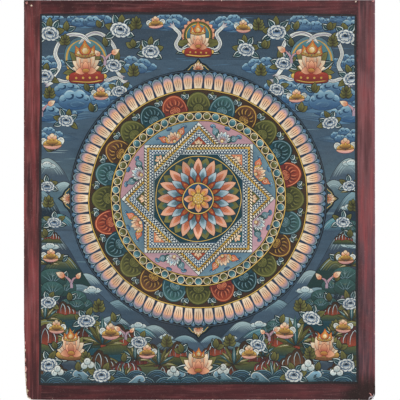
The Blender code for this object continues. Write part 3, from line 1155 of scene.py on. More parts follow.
def wave_curl(p, size, hand):
    """A breaking crest: a hooked body with a frosted lip and drops of spray."""
    body = [(-1.0, -0.1), (-0.5, 0.25), (0.05, 0.72), (0.62, 0.72), (0.78, 0.36), (0.52, 0.18),
            (0.34, 0.36), (0.46, 0.5), (0.2, 0.42), (0.12, 0.1), (0.5, -0.15)]
    lip = np.array([(-0.9, 0.0), (-0.42, 0.34), (0.08, 0.74), (0.6, 0.76), (0.8, 0.4), (0.56, 0.2)])
    way = (hand, 1)
    with p.at(0, 0, 0, size):
        p.edged(smooth(body, True, 4) * way, "teal_deep", "cloud_pale", (0, -0.1), (0, 0.75), 0.4)
        p.line(lip * way, 0.75, "frost", "white", steps=3)
        for share in (0.72, 0.5, 0.3):
            p.line((lip[:4] * (0.9 * share, share) + (0.1, -0.05)) * way, 0.35, "mist", steps=2)
        for x, z in ((0.95, 0.62), (0.86, 0.86), (0.5, 0.98)):
            p.fill(disc(0.045, hand * x, z, 6), "white")


def bank_strokes(p, low, high, count, pigments):
    """Level dry strokes across the field, as mist and water are shaded."""
    for _ in range(count):
        z = HAND.uniform(low, high)
        x = HAND.uniform(-158, 150)
        long = HAND.uniform(7, 26)
        dip = HAND.uniform(-0.5, 0.5)
        if math.hypot(x + long / 2, z - MEDALLION_Z) < MEDALLION_RADIUS - long / 2 - 2:
            continue
        stroke = [(x, z), (x + long / 2, z + dip), (x + long, z)]
        p.line(stroke, 0.5, pigments[HAND.integers(len(pigments))], steps=2)


def stacked(p, *motifs):
    """Motifs one above another, each as (motif, height, size)."""
    for motif, z, size in motifs:
        with p.at(0, z):
            motif(p, size)


def halo_lotus(p, size):
    """A lotus with jewels before a round halo, and a white scarf tossed over them."""
    upper = np.array([(-5, 14), (3, 21), (13, 22), (22, 16), (26, 6), (23, -4), (28, -13)])
    lower = np.array([(10, -15), (18, -18), (25, -16), (31, -19)])
    with p.at(0, 0, 0, size):
        p.edged(disc(18.5, 0, 2, 40), "teal_pale", "mist_deep", (0, -15), (0, 20), 0.5)
        p.ring(16.8, 1.6, "ochre", 40)
        p.fill(disc(15.0, 0, 2, 36), "teal", "teal_pale", (0, -14), (0, 18))
        for turn in (-104, -76, -48, 48, 76, 104):
            with p.at(0, -8, turn):
                leaf(p, 20, 8.5, "fir" if abs(turn) == 76 else "olive", 0.12 * np.sign(turn))
        for side in (-1, 1):
            scarf(p, upper * (side, 1), 3.6)
            scarf(p, lower * (side, 1), 3.0)
        stacked(p, (cushion, -15, 15), (lotus, -9, 15.5), (jewel, 4, 9.4))


def shore_lotus(p, leaf_size):
    """A great lotus with jewels above the water."""
    for turn, long in ((-64, 25), (-38, 22), (38, 22), (64, 25), (-90, 18), (90, 18)):
        with p.at(0, -4, turn, leaf_size):
            leaf(p, long, 9.5, "fir" if abs(turn) != 38 else "olive", 0.1 * np.sign(turn))
    p.edged(disc(15, 0, -2, 22, 0.36), "brown", "gold", (0, -6), (0, 2), 0.5)
    for x in range(-12, 13, 3):
        p.line([(x, -0.01 * x * x - 5.2), (0.9 * x, -2.4)], 0.5, "umber", curve=False)
    stacked(p, (lotus, 0, 18), (jewel, 13, 8.0))


def both_hands(motif, *rows, wander=1.3):
    """Lays a motif right of the middle and, a little differently, left of it, for each row: its x
    and z, and then what the motif is told."""
    for x, z, *told in rows:
        for flip in (False, True):
            with picture.at(MIDDLE_X, 0, flip=flip):
                shift = HAND.normal(0, wander, 2)
                with picture.at(x + shift[0], z + shift[1], HAND.normal(0, 2.5)):
                    motif(picture, *told)


# The ground of the picture, washed from one colour down into the next: (z, pigment)
GROUND_WASH = (
    (-8, "slate_deep"), (-60, "slate"), (-150, "slate"), (-185, "mist_deep"), (-215, "slate"),
    (-262, "slate"), (-310, "slate_deep"), (-345, "night"), (-368, "umber"), (-392, "night"),
)
for (high, above), (low, below) in zip(GROUND_WASH, GROUND_WASH[1:]):
    band = np.array([(-166, low), (166, low), (166, high), (-166, high)], float)
    picture.fill(band, below, above, (0, low), (0, high))
bank_strokes(picture, -100, -18, 90, ("cloud", "slate_deep", "slate_deep"))
bank_strokes(picture, -290, -100, 190, ("mist_pale", "mist", "mist_deep", "slate"))

# Far hills down both margins and across the lower field, the furthest first
both_hands(
    hill,
    (150, -174, 34, 16, "mist_pale", "slate"), (134, -192, 26, 10, "mist_pale", "mist_deep"),
    (157, -212, 40, 20, "mist", "night"), (137, -228, 30, 13, "teal_pale", "slate"),
    (152, -250, 44, 20, "mist_pale", "slate_deep"), (112, -284, 30, 12, "mist_pale", "slate"),
    (78, -312, 34, 11, "mist", "slate"), (44, -332, 30, 9, "mist_pale", "slate"),
    (14, -342, 26, 7, "mist", "slate"), (136, -270, 34, 14, "olive_pale", "fir"),
    (118, -296, 40, 10, "mist", "slate"), (157, -296, 46, 22, "teal_pale", "night"),
    (84, -324, 34, 8, "mist_pale", "slate"), (124, -322, 52, 20, "mist", "teal_deep"),
    (62, -338, 40, 10, "teal_pale", "slate_deep"), (28, -350, 38, 10, "mist", "night"),
    (152, -340, 46, 20, "olive_pale", "olive_deep"), (96, -348, 54, 18, "mist", "teal_deep"),
    (52, -362, 44, 16, "olive", "umber"), (128, -364, 44, 14, "mist_pale", "slate_deep"),
    (92, -370, 40, 12, "olive_pale", "umber"), (16, -372, 40, 12, "olive", "umber"),
)
# Clouds along the top, under the corner flowers and beside the ring
both_hands(
    cloud_bank,
    (148, -24, 32, -1), (108, -21, 26, 1), (30, -24, 24, 1), (62, -66, 24, 1), (150, -60, 20, -1),
    (146, -108, 38, -1), (92, -86, 30, 1), (120, -96, 44, -1), (151, -136, 22, -1),
)
both_hands(
    small_cloud,
    (150, -166, 10), (152, -206, 8), (149, -246, 10), (141, -288, 11), (96, -326, 10), (105, -290, 10),
    (60, -325, 9), (30, -338, 8),
)
# Trees, rocks and tufts
both_hands(tree, (146, -286, 23), (122, -306, 16), (153, -228, 10), (76, -332, 12))
both_hands(
    crag,
    (136, -316, 12, "rust", "umber"), (112, -342, 16, "wine", "umber"), (80, -348, 19, "rust", "umber"),
    (152, -346, 18, "rust", "maroon_deep"), (48, -364, 20, "wine", "umber"), (20, -358, 15, "rust", "umber"),
    (144, -240, 8, "rust", "umber"), (98, -368, 16, "brown", "umber"), (72, -374, 15, "rust", "maroon_deep"),
    (146, -376, 16, "brown", "umber"), (34, -380, 14, "rust", "umber"),
)
both_hands(
    spiked_tuft,
    (97, -344, 25), (154, -320, 17), (36, -364, 19), (64, -358, 16), (151, -192, 12), (151, -266, 13),
    (134, -338, 13), (74, -378, 15),
)
# Water at the foot: two rows of round waves, and breaking crests
wave_row(picture, -379, 21, 0)
wave_row(picture, -386, 22, 0.5)
both_hands(wave_curl, (114, -378, 12, 1), (60, -382, 11, -1), (24, -379, 11, -1))
# The flowers of the upper and the lower corners
both_hands(halo_lotus, (113, -60, 1.16), wander=0.5)
both_hands(shore_lotus, (126, -353, 1.06), wander=0.8)
# Peonies, each with its number of leaves, then sprigs and leaves between them
both_hands(
    peony_spray,
    (149, -36, 9.4, 7), (78, -32, 9.8, 7), (48, -50, 8.8, 7), (86, -64, 8.4, 6), (152, -78, 8.6, 6),
    (79, -92, 7.6, 5), (133, -122, 8.0, 6), (150, -186, 7.0, 5), (146, -222, 7.0, 5), (113, -320, 8.6, 6),
    (152, -304, 7.8, 6), (60, -345, 7.8, 6), (150, -366, 8.8, 6), (95, -376, 8.6, 6),
)
both_hands(
    sprig,
    (132, -32, 7.6), (98, -30, 7.4), (66, -50, 7.8), (146, -150, 7.4), (104, -112, 7.4), (152, -238, 7.4),
    (138, -262, 7.2), (84, -322, 7.4), (16, -349, 7.6), (120, -374, 7.8), (130, -300, 7.2), (138, -280, 7.0),
    (76, -362, 7.4), (112, -92, 7.4), (92, -46, 7.2), (140, -350, 7.0),
)
both_hands(
    feathered_leaf,
    (62, -30, 12), (134, -46, 11), (62, -74, 12), (149, -98, 12), (152, -208, 11), (100, -314, 13),
    (138, -332, 12), (30, -346, 12), (112, -362, 12),
)
# Gold offerings, buds and heaps of white jewels
both_hands(
    gold_offering,
    (146, -148, 9.5), (44, -28, 7.5), (98, -98, 8.0), (147, -260, 8.0), (86, -334, 9.5), (52, -356, 8.0),
    (146, -330, 8.0),
)
both_hands(bud, (93, -62, 15, -1), (154, -116, 14, -1), (128, -286, 15, 1), (72, -340, 12, 1))
both_hands(white_jewels, (108, -366, 6.6), (24, -371, 6.0), (138, -372, 6.0))
# Middle of the top: jewels on a lotus before a petalled halo, between clouds
with picture.at(MIDDLE_X, -35.5, 0, 0.92):
    halo_petal = both_sides([(0, 0), (2.6, 1.4), (2.4, 4.2), (0, 6.4)], 3)
    for turn in range(0, 360, 18):
        with picture.at(0, 0, turn), picture.at(0, 12.5):
            picture.edged(halo_petal, "rust", "peach", (0, 0), (0, 6), 0.36, "wine")
    picture.edged(disc(15.2, sides=40), "olive_deep", "olive", (0, -14), (0, 14), 0.5)
    picture.ring(13.0, 0.8, "gold", 40)
    picture.fill(disc(12.2, sides=36), "teal_deep", "teal_pale", (0, -12), (0, 12))
    for turn in (-112, -84, 84, 112):
        with picture.at(0, -10, turn):
            leaf(picture, 26, 9.5, "fir" if abs(turn) > 100 else "olive")
    for side in (-1, 1):
        route = np.array([(8, -13), (19, -16), (24, -9), (20, 1), (26, 8)]) * (side, 1)
        scarf(picture, route, 3.2)
    stacked(picture, (cushion, -18, 15), (lotus, -12, 16), (jewel, 2.5, 9.0))
# Middle of the foot: a lotus on the water
with picture.at(MIDDLE_X, -370):
    for turn in (-82, -54, -28, 28, 54, 82):
        with picture.at(0, 0, turn):
            leaf(picture, 23, 9, "fir" if abs(turn) != 54 else "olive")
    stacked(picture, (lotus, 0, 18.5), (jewel, 13.5, 6.4))
# The dark line round the picture, ruled without a wander
outer_line = picture_edge(1.3)
inner_line = picture_edge(-1.1)
picture.WANDER = 0.0
picture.fill(np.vstack((outer_line, outer_line[:1], inner_line[:1], inner_line[::-1])), "ruled")


def distemper(name, weave_share):
    """Matt glue paint: each wash is mottled, drier on the threads, and dulled by age and dust."""
    material, shader, start = new_finish(name)
    place, weave = woven(start)
    wash = start.node("ShaderNodeAttribute", {"attribute_name": "wash"}, {}, 0)
    gilt = start.node("ShaderNodeAttribute", {"attribute_name": "wash"}, {}, 3)
    mottle = place.noise(120.0, 3.0, seed=1.0)
    dry = place.noise(1100.0, 2.0, seed=3.0)
    age = place.noise(12.0, 3.0, seed=7.0)
    stroke = place.noise(300.0, 3.0, (0.22, 1, 1), 11.0)
    level = 0.84 + mottle * 0.22 + (dry - 0.5) * 0.46 + (stroke - 0.5) * 0.50
    body = level.held().mixed(colour("14181c"), wash)
    body = body.under((dry.ramp(0.58, 0.78) * 0.10, "b9b3a2"), (age.ramp(0.45, 0.75) * 0.12, "6d5f4c"))
    bump = (weave * weave_share + dry * 0.7 + mottle * 0.6).bump(0.5, PAINT_GRAIN)
    rough = 0.80 - gilt * 0.24 + (mottle - 0.5) * 0.12
    drive(start, shader, Base_Color=body, Normal=bump, Roughness=rough.held())
    return material


def medallion_edge(out):
    """The rim of the medallion's paint as a loop."""
    return disc(MEDALLION_RADIUS + out, MIDDLE_X, MEDALLION_Z, 200)


def half_field(top):
    """The field above or below the split, less the medallion, as one loop. The halves lap."""
    side = 1 if top else -1
    cut = FIELD_SPLIT_Z - FIELD_LAP * side
    chains = []
    for loop in (picture_edge(1.3), medallion_edge(-1.0)):
        kept = side * (loop[:, 1] - cut) > 0
        chain = np.roll(loop, -np.flatnonzero(kept & ~np.roll(kept, 1))[0], axis=0)
        ends = []
        for inner, outer in ((0, -1), (kept.sum() - 1, kept.sum())):
            share = (cut - chain[inner, 1]) / (chain[outer, 1] - chain[inner, 1])
            ends.append(chain[inner] + share * (chain[outer] - chain[inner]))
        chains.append(np.vstack((ends[0], chain[:kept.sum()], ends[1])))
    return np.vstack((chains[0], chains[1][::-1]))


picture_paint = distemper("picture_distemper", 0.3)
upper_field = film(
    "painted_sky", [half_field(True)], picture, FILM_LEVEL - 0.030, PAINT_PITCH, "slate", PAINT_UNEVEN,
)
lower_field = film(
    "painted_land", [half_field(False)], picture, FILM_LEVEL - 0.042, PAINT_PITCH, "slate", PAINT_UNEVEN,
)
for field in (upper_field, lower_field):
    field.data.materials.append(picture_paint)
    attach(field, "root")

# ---------------------------------------------------------------------------------------------
# The medallion: the same glue paint, built up in rings from the rim inwards. Lotus petals, shell
# scrolls, beads, then an eight-pointed star of two laced squares round a lotus. Its yellow lines
# are ochre rubbed with a stone, a little glossier than the rest.
# ---------------------------------------------------------------------------------------------

# Radii of the rings where things stand or are centred
FINIAL_FOOT = 128.2
PETAL_FOOT = 109.0
SHELL_FOOT = 87.0
BEADS = 82.6
GAP_FLOWERS = 64.4
# The star's points reach this circle, and its sides lie this far from the middle.
STAR_RADIUS = 77.0
STAR_SIDE = STAR_RADIUS / math.sqrt(2)
BAND_WIDTH = 10.6

FINIAL_SIDE = [(0, -3), (15, -2.4), (10, 2.0), (7.2, 5.0), (2.5, 7.2), (0, 11.2)]
medallion = Painting()


def around(p, count, first=0.0):
    """Each place of a ring in turn, with +z pointing outwards."""
    for number in range(count):
        with p.at(0, 0, first + 360 * number / count):
            yield number


def coil(p, size, turns, width, pigment, hand, start):
    """A line that winds inwards."""
    t = np.linspace(0, 1, int(12 * turns))
    radius = size * (1 - 0.88 * t)
    angle = start + hand * 2 * math.pi * turns * t
    route = np.column_stack((radius * np.cos(angle), radius * np.sin(angle)))
    p.line(route, width, pigment, thin=(0.2, 0.2), curve=False)


def rim_petal(p):
    """A petal of the outer ring: cream at its foot, then peach, lilac and slate at its tip."""
    outline = both_sides([(0, 0), (3.6, 0.4), (4.6, 7), (5.1, 13), (3.9, 17.4), (0, 20.4)], 3)
    p.edged(outline, "slate", "mist_deep", (0, 12), (0, 20), 0.45)
    p.fill(outline * (0.88, 0.94), "lilac", "mist_deep", (0, 14), (0, 19))
    p.fill(outline * (0.82, 0.84), "peach", "lilac", (0, 11), (0, 16.5))
    p.fill(outline * (0.76, 0.66), "cream", "peach", (0, 4.0), (0, 12.5))
    for x, low, high in ((-2.1, 3, 12.6), (0, 1.4, 15.6), (2.1, 3, 12.6)):
        rib = [(x * 0.62, low), (x * 0.95, (low + high) / 2), (x, high)]
        p.line(rib, 0.5, "rust" if x else "wine", "ink", steps=2)
    p.line([(-4.3, 13.0), (-3.4, 17.0), (0, 19.4), (3.4, 17.0), (4.3, 13.0)], 0.4, "mist_pale", steps=2)


def shell_scroll(p, deep, body, pale):
    """A domed scroll of the second ring, ribbed like a shell, with two coils at its foot."""
    dome = both_sides([(0, 0), (11.9, 0.2), (12.1, 6.4), (9.6, 12.2), (4.9, 15.9), (0, 17.0)], 3)
    p.edged(dome, deep, body, (0, 1), (0, 15), 0.5)
    rim = [(11.0, 1), (11.1, 6.2), (8.8, 11.3), (4.5, 14.7), (0, 15.7), (-4.5, 14.7), (-8.8, 11.3),
           (-11.1, 6.2), (-11.0, 1)]
    p.line(rim, 0.75, pale, thin=(0.1, 0.1))
    for turn in range(-72, 73, 12):
        a = math.radians(turn)
        bend = 0.9 if turn > 0 else -0.9
        across, up = math.sin(a), math.cos(a)
        rib = [(6.4 * across, 1.6 + 6.2 * up), (8.3 * across + bend, 1.4 + 9.0 * up),
               (9.6 * across, 1.2 + 12.4 * up)]
        p.line(rib, 0.62, pale if turn % 24 else "ink", steps=2)
    arch = [(6.0 * math.cos(a), 1.4 + 6.0 * math.sin(a)) for a in np.linspace(0.05, math.pi - 0.05, 9)]
    p.fill(np.array(arch), deep, body, (0, 0), (0, 7))
    p.line(arch, 0.55, "ink", steps=2, thin=(0.1, 0.1))
    for hand in (-1, 1):
        with p.at(3.0 * hand, 3.2):
            coil(p, 2.5, 1.9, 0.5, pale, hand, math.pi / 2)
    p.line([(0, 1.2), (0, 6.6)], 0.6, pale, steps=2)


# Every strand and square of the star's bands repeats at this step.
LACE_PITCH = 3.0


def rope_and_lattice(p, side):
    """Half of one side of a laced square, from its middle to the mitre at its corner."""
    def strip(top, foot, pigment, fade=None):
        corner, inner_corner = side * (STAR_SIDE - top), side * (STAR_SIDE - foot)
        outline = np.array([(0, -top), (corner, -top), (inner_corner, -foot), (0, -foot)])
        p.fill(outline, pigment, fade, (0, 0), (side * STAR_SIDE, 0))

    def slants(top, foot, lean, pigment):
        for at in np.arange(0.5 * LACE_PITCH, STAR_SIDE - foot - 1.0, LACE_PITCH):
            p.line([(side * at, -foot), (side * at + lean, -top)], 1.0, pigment, curve=False, thin=(0, 0))

    square = np.array(((-0.75, -0.6), (0.75, -0.6), (0.75, 0.6), (-0.75, 0.6)))
    strip(0, BAND_WIDTH, "ink")
    strip(0.5, 2.6, "cream", "white")
    slants(0.5, 2.6, 1.7, "ink")
    strip(3.1, 5.1, "gold", "ochre")
    slants(3.1, 5.1, -1.6, "umber")
    strip(5.5, 6.0, "frost")
    strip(6.0, 9.7, "night", "cloud_deep")
    for first, down in ((0.9, 6.95), (2.4, 8.75)):
        for at in np.arange(first, STAR_SIDE - down - 0.9, LACE_PITCH):
            p.fill(square + (side * at, -down), "white")
    strip(9.7, 10.1, "frost")


def gap_flower(p, warm):
    """A lotus between two points of the star, with a coiling leaf on either hand."""
    leaves = (("red", "coral"), ("orange", "gold")) if warm else (("teal", "mist"), ("fir", "fir_pale"))
    tear = both_sides([(0, -0.9), (0.72, -0.4), (0.81, 0.3), (0.32, 0.95), (0, 1.6)], 3)
    for hand in (-1, 1):
        for (deep, pale), (x, z, size, turn) in zip(leaves, ((9.2, 3.6, 4.0, -50), (5.4, 0.6, 3.4, -16))):
            with p.at(hand * x, z, turn * hand, size):
                p.edged(tear, deep, pale, (0, -1), (0, 1.2), 0.36)
                coil(p, 0.55, 1.4, 0.4, "cream" if warm else "frost", -hand, math.pi)
    with p.at(0, -1.2):
        lotus(p, 8.6, warm)
    p.edged(disc(1.5, 0, -2.4, 12), "gold", "cream", (0, -3.6), (0, -1.2), 0.3, "brown")


# Washes by turns round their rings: (deep, body, pale) of the scrolls, and of the star's points
SCROLL_COLOURS = (
    ("olive_deep", "olive", "olive_pale"), ("wine", "rust", "coral"), ("teal_deep", "fir", "mist"),
    ("olive_deep", "olive", "olive_pale"), ("umber", "brown", "ochre"), ("teal_deep", "fir_pale", "mist"),
)
POINT_COLOURS = ("rust", "teal", "olive", "coral")

with medallion.at(MIDDLE_X, MEDALLION_Z):
    # Pointed finials on the four sides
    arch = both_sides(FINIAL_SIDE, 4)
    for _ in around(medallion, 4):
        with medallion.at(0, FINIAL_FOOT):
            medallion.fill(grown(arch, 1.2), "ink")
            medallion.fill(arch, "teal_deep", "teal", (0, 0), (0, 10))
            for hand in (-1, 1):
                gilt_line = smooth(FINIAL_SIDE[1:], False, 4) * (0.86 * hand, 0.9)
                medallion.line(gilt_line, 0.55, "gold", curve=False, thin=(0.1, 0.1))
            with medallion.at(0, 1.0):
                lotus(medallion, 6.6)
    # Rim, and the ring of lotus petals
    medallion.fill(disc(MEDALLION_RADIUS, sides=200), "ink")
    medallion.fill(disc(128.3, sides=200), "slate")
    medallion.fill(disc(127.5, sides=200), "ink")
    behind = both_sides([(0, 0), (4.4, 4), (5.0, 13), (2.6, 17.6), (0, 19.6)], 2)
    for _ in around(medallion, 72, 2.5):
        with medallion.at(0, PETAL_FOOT + 1.2, tall=0.88):
            medallion.edged(behind, "cloud_deep", "cloud", (0, 12), (0, 19), 0.4)
            medallion.line([(0, 12), (0, 19)], 0.4, "frost", steps=2)
    for _ in around(medallion, 72):
        with medallion.at(0, PETAL_FOOT, tall=0.88):
            rim_petal(medallion)
    medallion.fill(disc(110.0, sides=160), "ink")
    medallion.ring(109.1, 0.9, "gold", 160)
    # Shell scrolls
    medallion.fill(disc(108.2, sides=160), "umber")
    for _ in around(medallion, 24, 7.5):
        with medallion.at(0, 106.2):
            for turn, long in ((0, 1.0), (-38, 0.8), (38, 0.8)):
                with medallion.at(0, -6.0, turn):
                    leaf(medallion, 8.0 * long, 4.4, "fir" if turn else "olive")
    for number in around(medallion, 24):
        with medallion.at(0, SHELL_FOOT, tall=1.14):
            shell_scroll(medallion, *SCROLL_COLOURS[number % 6])
    # Beads
    medallion.fill(disc(88.0, sides=140), "ink")
    medallion.ring(87.1, 0.8, "gold", 140)
    for number in around(medallion, 60):
        with medallion.at(0, BEADS):
            medallion.fill(disc(3.95, sides=14), "cream")
            deep, pale = (("teal_deep", "teal_pale"), ("olive_deep", "olive_pale"))[number % 2]
            medallion.fill(disc(3.3, sides=14), deep, pale, (0, -3), (0, 3))
            medallion.line([(-1.7, 0.7), (-0.6, 1.9), (0.9, 1.9)], 0.5, "frost", steps=2)
    for _ in around(medallion, 60, 3):
        with medallion.at(0, BEADS):
            medallion.fill(disc(0.62, sides=7), "ochre")
    medallion.fill(disc(78.6, sides=140), "gold")
    medallion.fill(disc(77.8, sides=140), "ink")
    # The ground behind the star, and its flowers
    wedge = [(77.2 * math.sin(a), 77.2 * math.cos(a)) for a in np.radians(np.linspace(-23, 23, 12))]
    for number in around(medallion, 8, 22.5):
        deep, pale = (("cloud_deep", "mist"), ("lilac", "pink"))[number % 2]
        medallion.fill(np.array([(0, 0), *wedge]), deep, pale, (0, 56), (0, 78))
        for turn, radius in ((-11, 73.6), (11, 73.6), (0, 76.2)):
            with medallion.at(0, 0, turn), medallion.at(0, radius):
                cloud_head(medallion, 2.6)
        with medallion.at(0, GAP_FLOWERS):
            gap_flower(medallion, number % 2 == 0)
    # The star: all the halves that pass under, then all those that pass over
    point_petal = both_sides([(0, 0), (1.5, 1.6), (1.2, 3.2), (0, 4.6)], 3)
    for number in around(medallion, 8):
        with medallion.at(0, 60.6):
            medallion.fill(np.array([(-9, -8), (9, -8), (0, 4)]), POINT_COLOURS[number % 4])
            with medallion.at(0, -5.6):
                for turn in (-62, 62, 0):
                    with medallion.at(0, 0, turn):
                        medallion.edged(point_petal, "cream", "peach", (0, 0), (0, 4), 0.3)
    for side in (-1, 1):
        for _ in around(medallion, 8):
            with medallion.at(0, STAR_SIDE):
                rope_and_lattice(medallion, side)
    # The lotus at the centre
    with medallion.at(0, 0, 22.5):
        medallion.fill(disc((STAR_SIDE - BAND_WIDTH) / math.cos(math.pi / 8), sides=8), "teal_deep")
    medallion.ring(42.6, 0.6, "gold", 90)
    petal = both_sides([(0, 0), (0.22, 0.12), (0.30, 0.45), (0.20, 0.78), (0, 1.0)], 3)
    # (count, first turn, foot radius, length, width, edge wash, tip wash, inner foot, inner tip)
    for count, first, foot, length, width, body, tip, inner, inner_tip in (
        (16, 11.25, 22, 19.5, 18, "olive_deep", "olive_pale", "fir", "fir_pale"),
        (16, 0, 19, 21.8, 15, "pink", "peach", "rust", "coral"),
        (16, 11.25, 14, 17.5, 12.5, "petal_blue", "frost", "teal_deep", "mist"),
        (16, 0, 12, 12.5, 8.5, "wine", "rust", "red", "orange"),
    ):
        for _ in around(medallion, count, first):
            with medallion.at(0, foot):
                medallion.edged(petal * (width, length), body, tip, (0, 0.2 * length), (0, length), 0.45)
                heart = petal * (0.62 * width, 0.76 * length)
                medallion.fill(heart, inner, inner_tip, (0, 0.1 * length), (0, 0.7 * length))
                for x in (-0.07 * width, 0, 0.07 * width):
                    rib = [(x, 0.3 * length), (1.3 * x, 0.62 * length)]
                    medallion.line(rib, 0.32, "ink" if inner != "rust" else "wine", steps=2)
    medallion.fill(disc(16.4, sides=60), "ink")
    medallion.fill(disc(15.8, sides=60), "gold")
    medallion.fill(disc(14.9, sides=60), "night", "cloud_deep", (0, -15), (0, 15))
    for _ in around(medallion, 8):
        with medallion.at(0, 4):
            medallion.edged(petal * (11.5, 10.2), "rust", "peach", (0, 1), (0, 9.5), 0.5)
            medallion.fill(petal * (6.4, 7.2), "gold", "orange", (0, 1), (0, 7))
            medallion.line([(0, 2), (0, 7.6)], 0.34, "rust", steps=2)
    medallion.fill(disc(6.0, sides=30), "ink")
    medallion.fill(disc(5.4, sides=30), "ochre", "gold", (0, -5), (0, 5))
    for radius, count in ((3.7, 8), (0, 1)):
        for _ in around(medallion, count):
            with medallion.at(0, radius):
                medallion.edged(disc(0.95, sides=9), "cream", "gold", (0, 1), (0, -1), 0.3, "brown")


def medallion_rim():
    """The outline of the medallion's film: a circle, drawn out over the four finials."""
    arch = grown(both_sides(FINIAL_SIDE, 4), 1.2)
    right = arch[(arch[:, 0] > -1e-6) & (arch[:, 1] > -2)]
    angle = np.arctan2(right[:, 0], right[:, 1] + FINIAL_FOOT)
    radius = np.hypot(right[:, 0], right[:, 1] + FINIAL_FOOT)
    order = np.argsort(angle)
    turn = np.radians(np.arange(0, 360, 0.75))
    off = np.abs((turn + math.pi / 4) % (math.pi / 2) - math.pi / 4)
    reach = np.maximum(MEDALLION_RADIUS, np.interp(off, angle[order], radius[order], right=0.0))
    return np.column_stack((MIDDLE_X + reach * np.cos(turn), MEDALLION_Z + reach * np.sin(turn)))


rings = film(
    "painted_medallion", [medallion_rim()], medallion, FILM_LEVEL - 0.060, PAINT_PITCH, "ink", PAINT_UNEVEN,
)
rings.data.materials.append(picture_paint)
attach(rings, "root")

# ---------------------------------------------------------------------------------------------
# Frayed threads: single cotton threads that have worked loose where the cut edge is worn, down
# the lower left side and at the two lower corners. Nothing hems the edge, so the weave lets go.
# ---------------------------------------------------------------------------------------------

THREAD_WIDTH = 0.00019
THREAD_SPACING = 0.0016
THREAD_SEED = 7
# Worn runs of the edge, each as its points from end to end in millimetres
WORN_RUNS = (
    ((-174.3, -340.0), (-174.0, -362.0), (-173.3, -378.0), (-172.6, -392.0), (-171.6, -396.2)),
    ((-170.6, -396.9), (-167.0, -399.0), (-161.0, -399.8)),
    ((167.4, -399.6), (170.6, -398.2), (171.6, -395.0), (173.6, -392.6)),
    ((-175.2, -1.2), (-175.2, -6.0)),
)


def worn_edge_line():
    """The worn runs as curves along the middle of the cloth's edge."""
    line = bpy.data.curves.new("worn_edge", "CURVE")
    line.dimensions = "3D"
    for run in WORN_RUNS:
        places = on_cloth(np.array(run), 0.1)
        spline = line.splines.new("POLY")
        spline.points.add(len(places) - 1)
        spline.points.foreach_set("co", np.column_stack((places, np.ones(len(places)))).ravel())
    holder = bpy.data.objects.new("worn_edge", line)
    bpy.context.scene.collection.objects.link(holder)
    return holder


def frayed_tree(material):
    """Threads along a line: each starts on it, leans outwards and bends, and no two are alike."""
    tree = bpy.data.node_groups.new("frayed_edge", "GeometryNodeTree")
    face = tree.interface
    face.new_socket("Worn edge", in_out="INPUT", socket_type="NodeSocketGeometry")
    named = {}
    for name, kind, value in (
        ("Thread spacing", "NodeSocketFloat", THREAD_SPACING),
        ("Thread width", "NodeSocketFloat", THREAD_WIDTH),
        ("Seed", "NodeSocketInt", THREAD_SEED),
    ):
        socket = face.new_socket(name, in_out="INPUT", socket_type=kind)
        named[socket.identifier] = value
    face.new_socket("Threads", in_out="OUTPUT", socket_type="NodeSocketGeometry")
    start = Finish(tree, None)
    edge, spacing, width, seed = (start.node("NodeGroupInput", {}, {}, number) for number in range(4))

    def chance(low, high, shift):
        """A random number for each thread."""
        sockets = {"Min_001": low, "Max_001": high, "Seed": seed + shift}
        return start.node("FunctionNodeRandomValue", {"data_type": "FLOAT"}, sockets, 1)

    def chance_way(reach, shift):
        """A random vector for each thread, within reach of nothing on each axis."""
        sockets = {"Min": tuple(-r for r in reach), "Max": reach, "Seed": seed + shift}
        return start.node("FunctionNodeRandomValue", {"data_type": "FLOAT_VECTOR"}, sockets, 0)

    def along(output):
        """The points a step apart along the line, or their tangents."""
        sockets = {"Curve": edge, "Length": spacing}
        return start.node("GeometryNodeCurveToPoints", {"mode": "LENGTH"}, sockets, output)

    jog = chance_way((0.0003, 0.0003, 0.0006), 3)
    roots = start.node("GeometryNodeSetPosition", {}, {"Geometry": along(0), "Offset": jog})
    outwards = start.node("ShaderNodeVectorMath", {"operation": "CROSS_PRODUCT"},
                          {"Vector": (0, 1, 0), "Vector_001": along(1)})
    leaning = start.node("ShaderNodeVectorMath", {"operation": "ADD"},
                         {"Vector": outwards, "Vector_001": chance_way((0.7, 0.5, 0.7), 5)})
    turned = start.node("FunctionNodeAlignRotationToVector", {"axis": "X"}, {"Vector": leaning})
    bend = start.node("GeometryNodeCurveQuadraticBezier", {},
                      {"Resolution": 6, "Start": (-0.0004, 0, 0), "Middle": (0.0006, 0.0001, 0.0002),
                       "End": (0.0010, -0.0001, -0.0005)})
    section = start.node("GeometryNodeCurvePrimitiveCircle", {"mode": "RADIUS"},
                         {"Resolution": 5, "Radius": width * 0.5})
    strand = start.node("GeometryNodeCurveToMesh", {},
                        {"Curve": bend, "Profile Curve": section, "Fill Caps": True})
    laid = start.node("GeometryNodeInstanceOnPoints", {},
                      {"Points": roots, "Instance": strand, "Rotation": turned, "Scale": chance(0.35, 1.3, 9)})
    made = start.node("GeometryNodeRealizeInstances", {}, {"Geometry": laid})
    finished = start.node("GeometryNodeSetMaterial", {}, {"Geometry": made, "Material": material})
    way_out = tree.nodes.new("NodeGroupOutput")
    tree.links.new(finished.socket, way_out.inputs[0])
    return tree, named


def cotton_thread():
    """Undyed cotton yarn, soiled in places, with its twist showing as a fine slant."""
    material, shader, start = new_finish("cotton_thread")
    place = start.node("ShaderNodeTexCoord", {}, {}, "Object")
    soil = place.noise(260.0, 2.0).ramp(0.42, 0.68)
    twist = place.noise(5200.0, 1.0, (1, 1, 0.4), 2.0)
    body = soil.mixed(colour("d9c6ab"), colour("a8826a")).under((twist.ramp(0.45, 0.7) * 0.4, "efe4cf"))
    drive(start, shader, Base_Color=body, Normal=twist.bump(0.5, 0.00004), Roughness=0.82 + soil * 0.12)
    return material


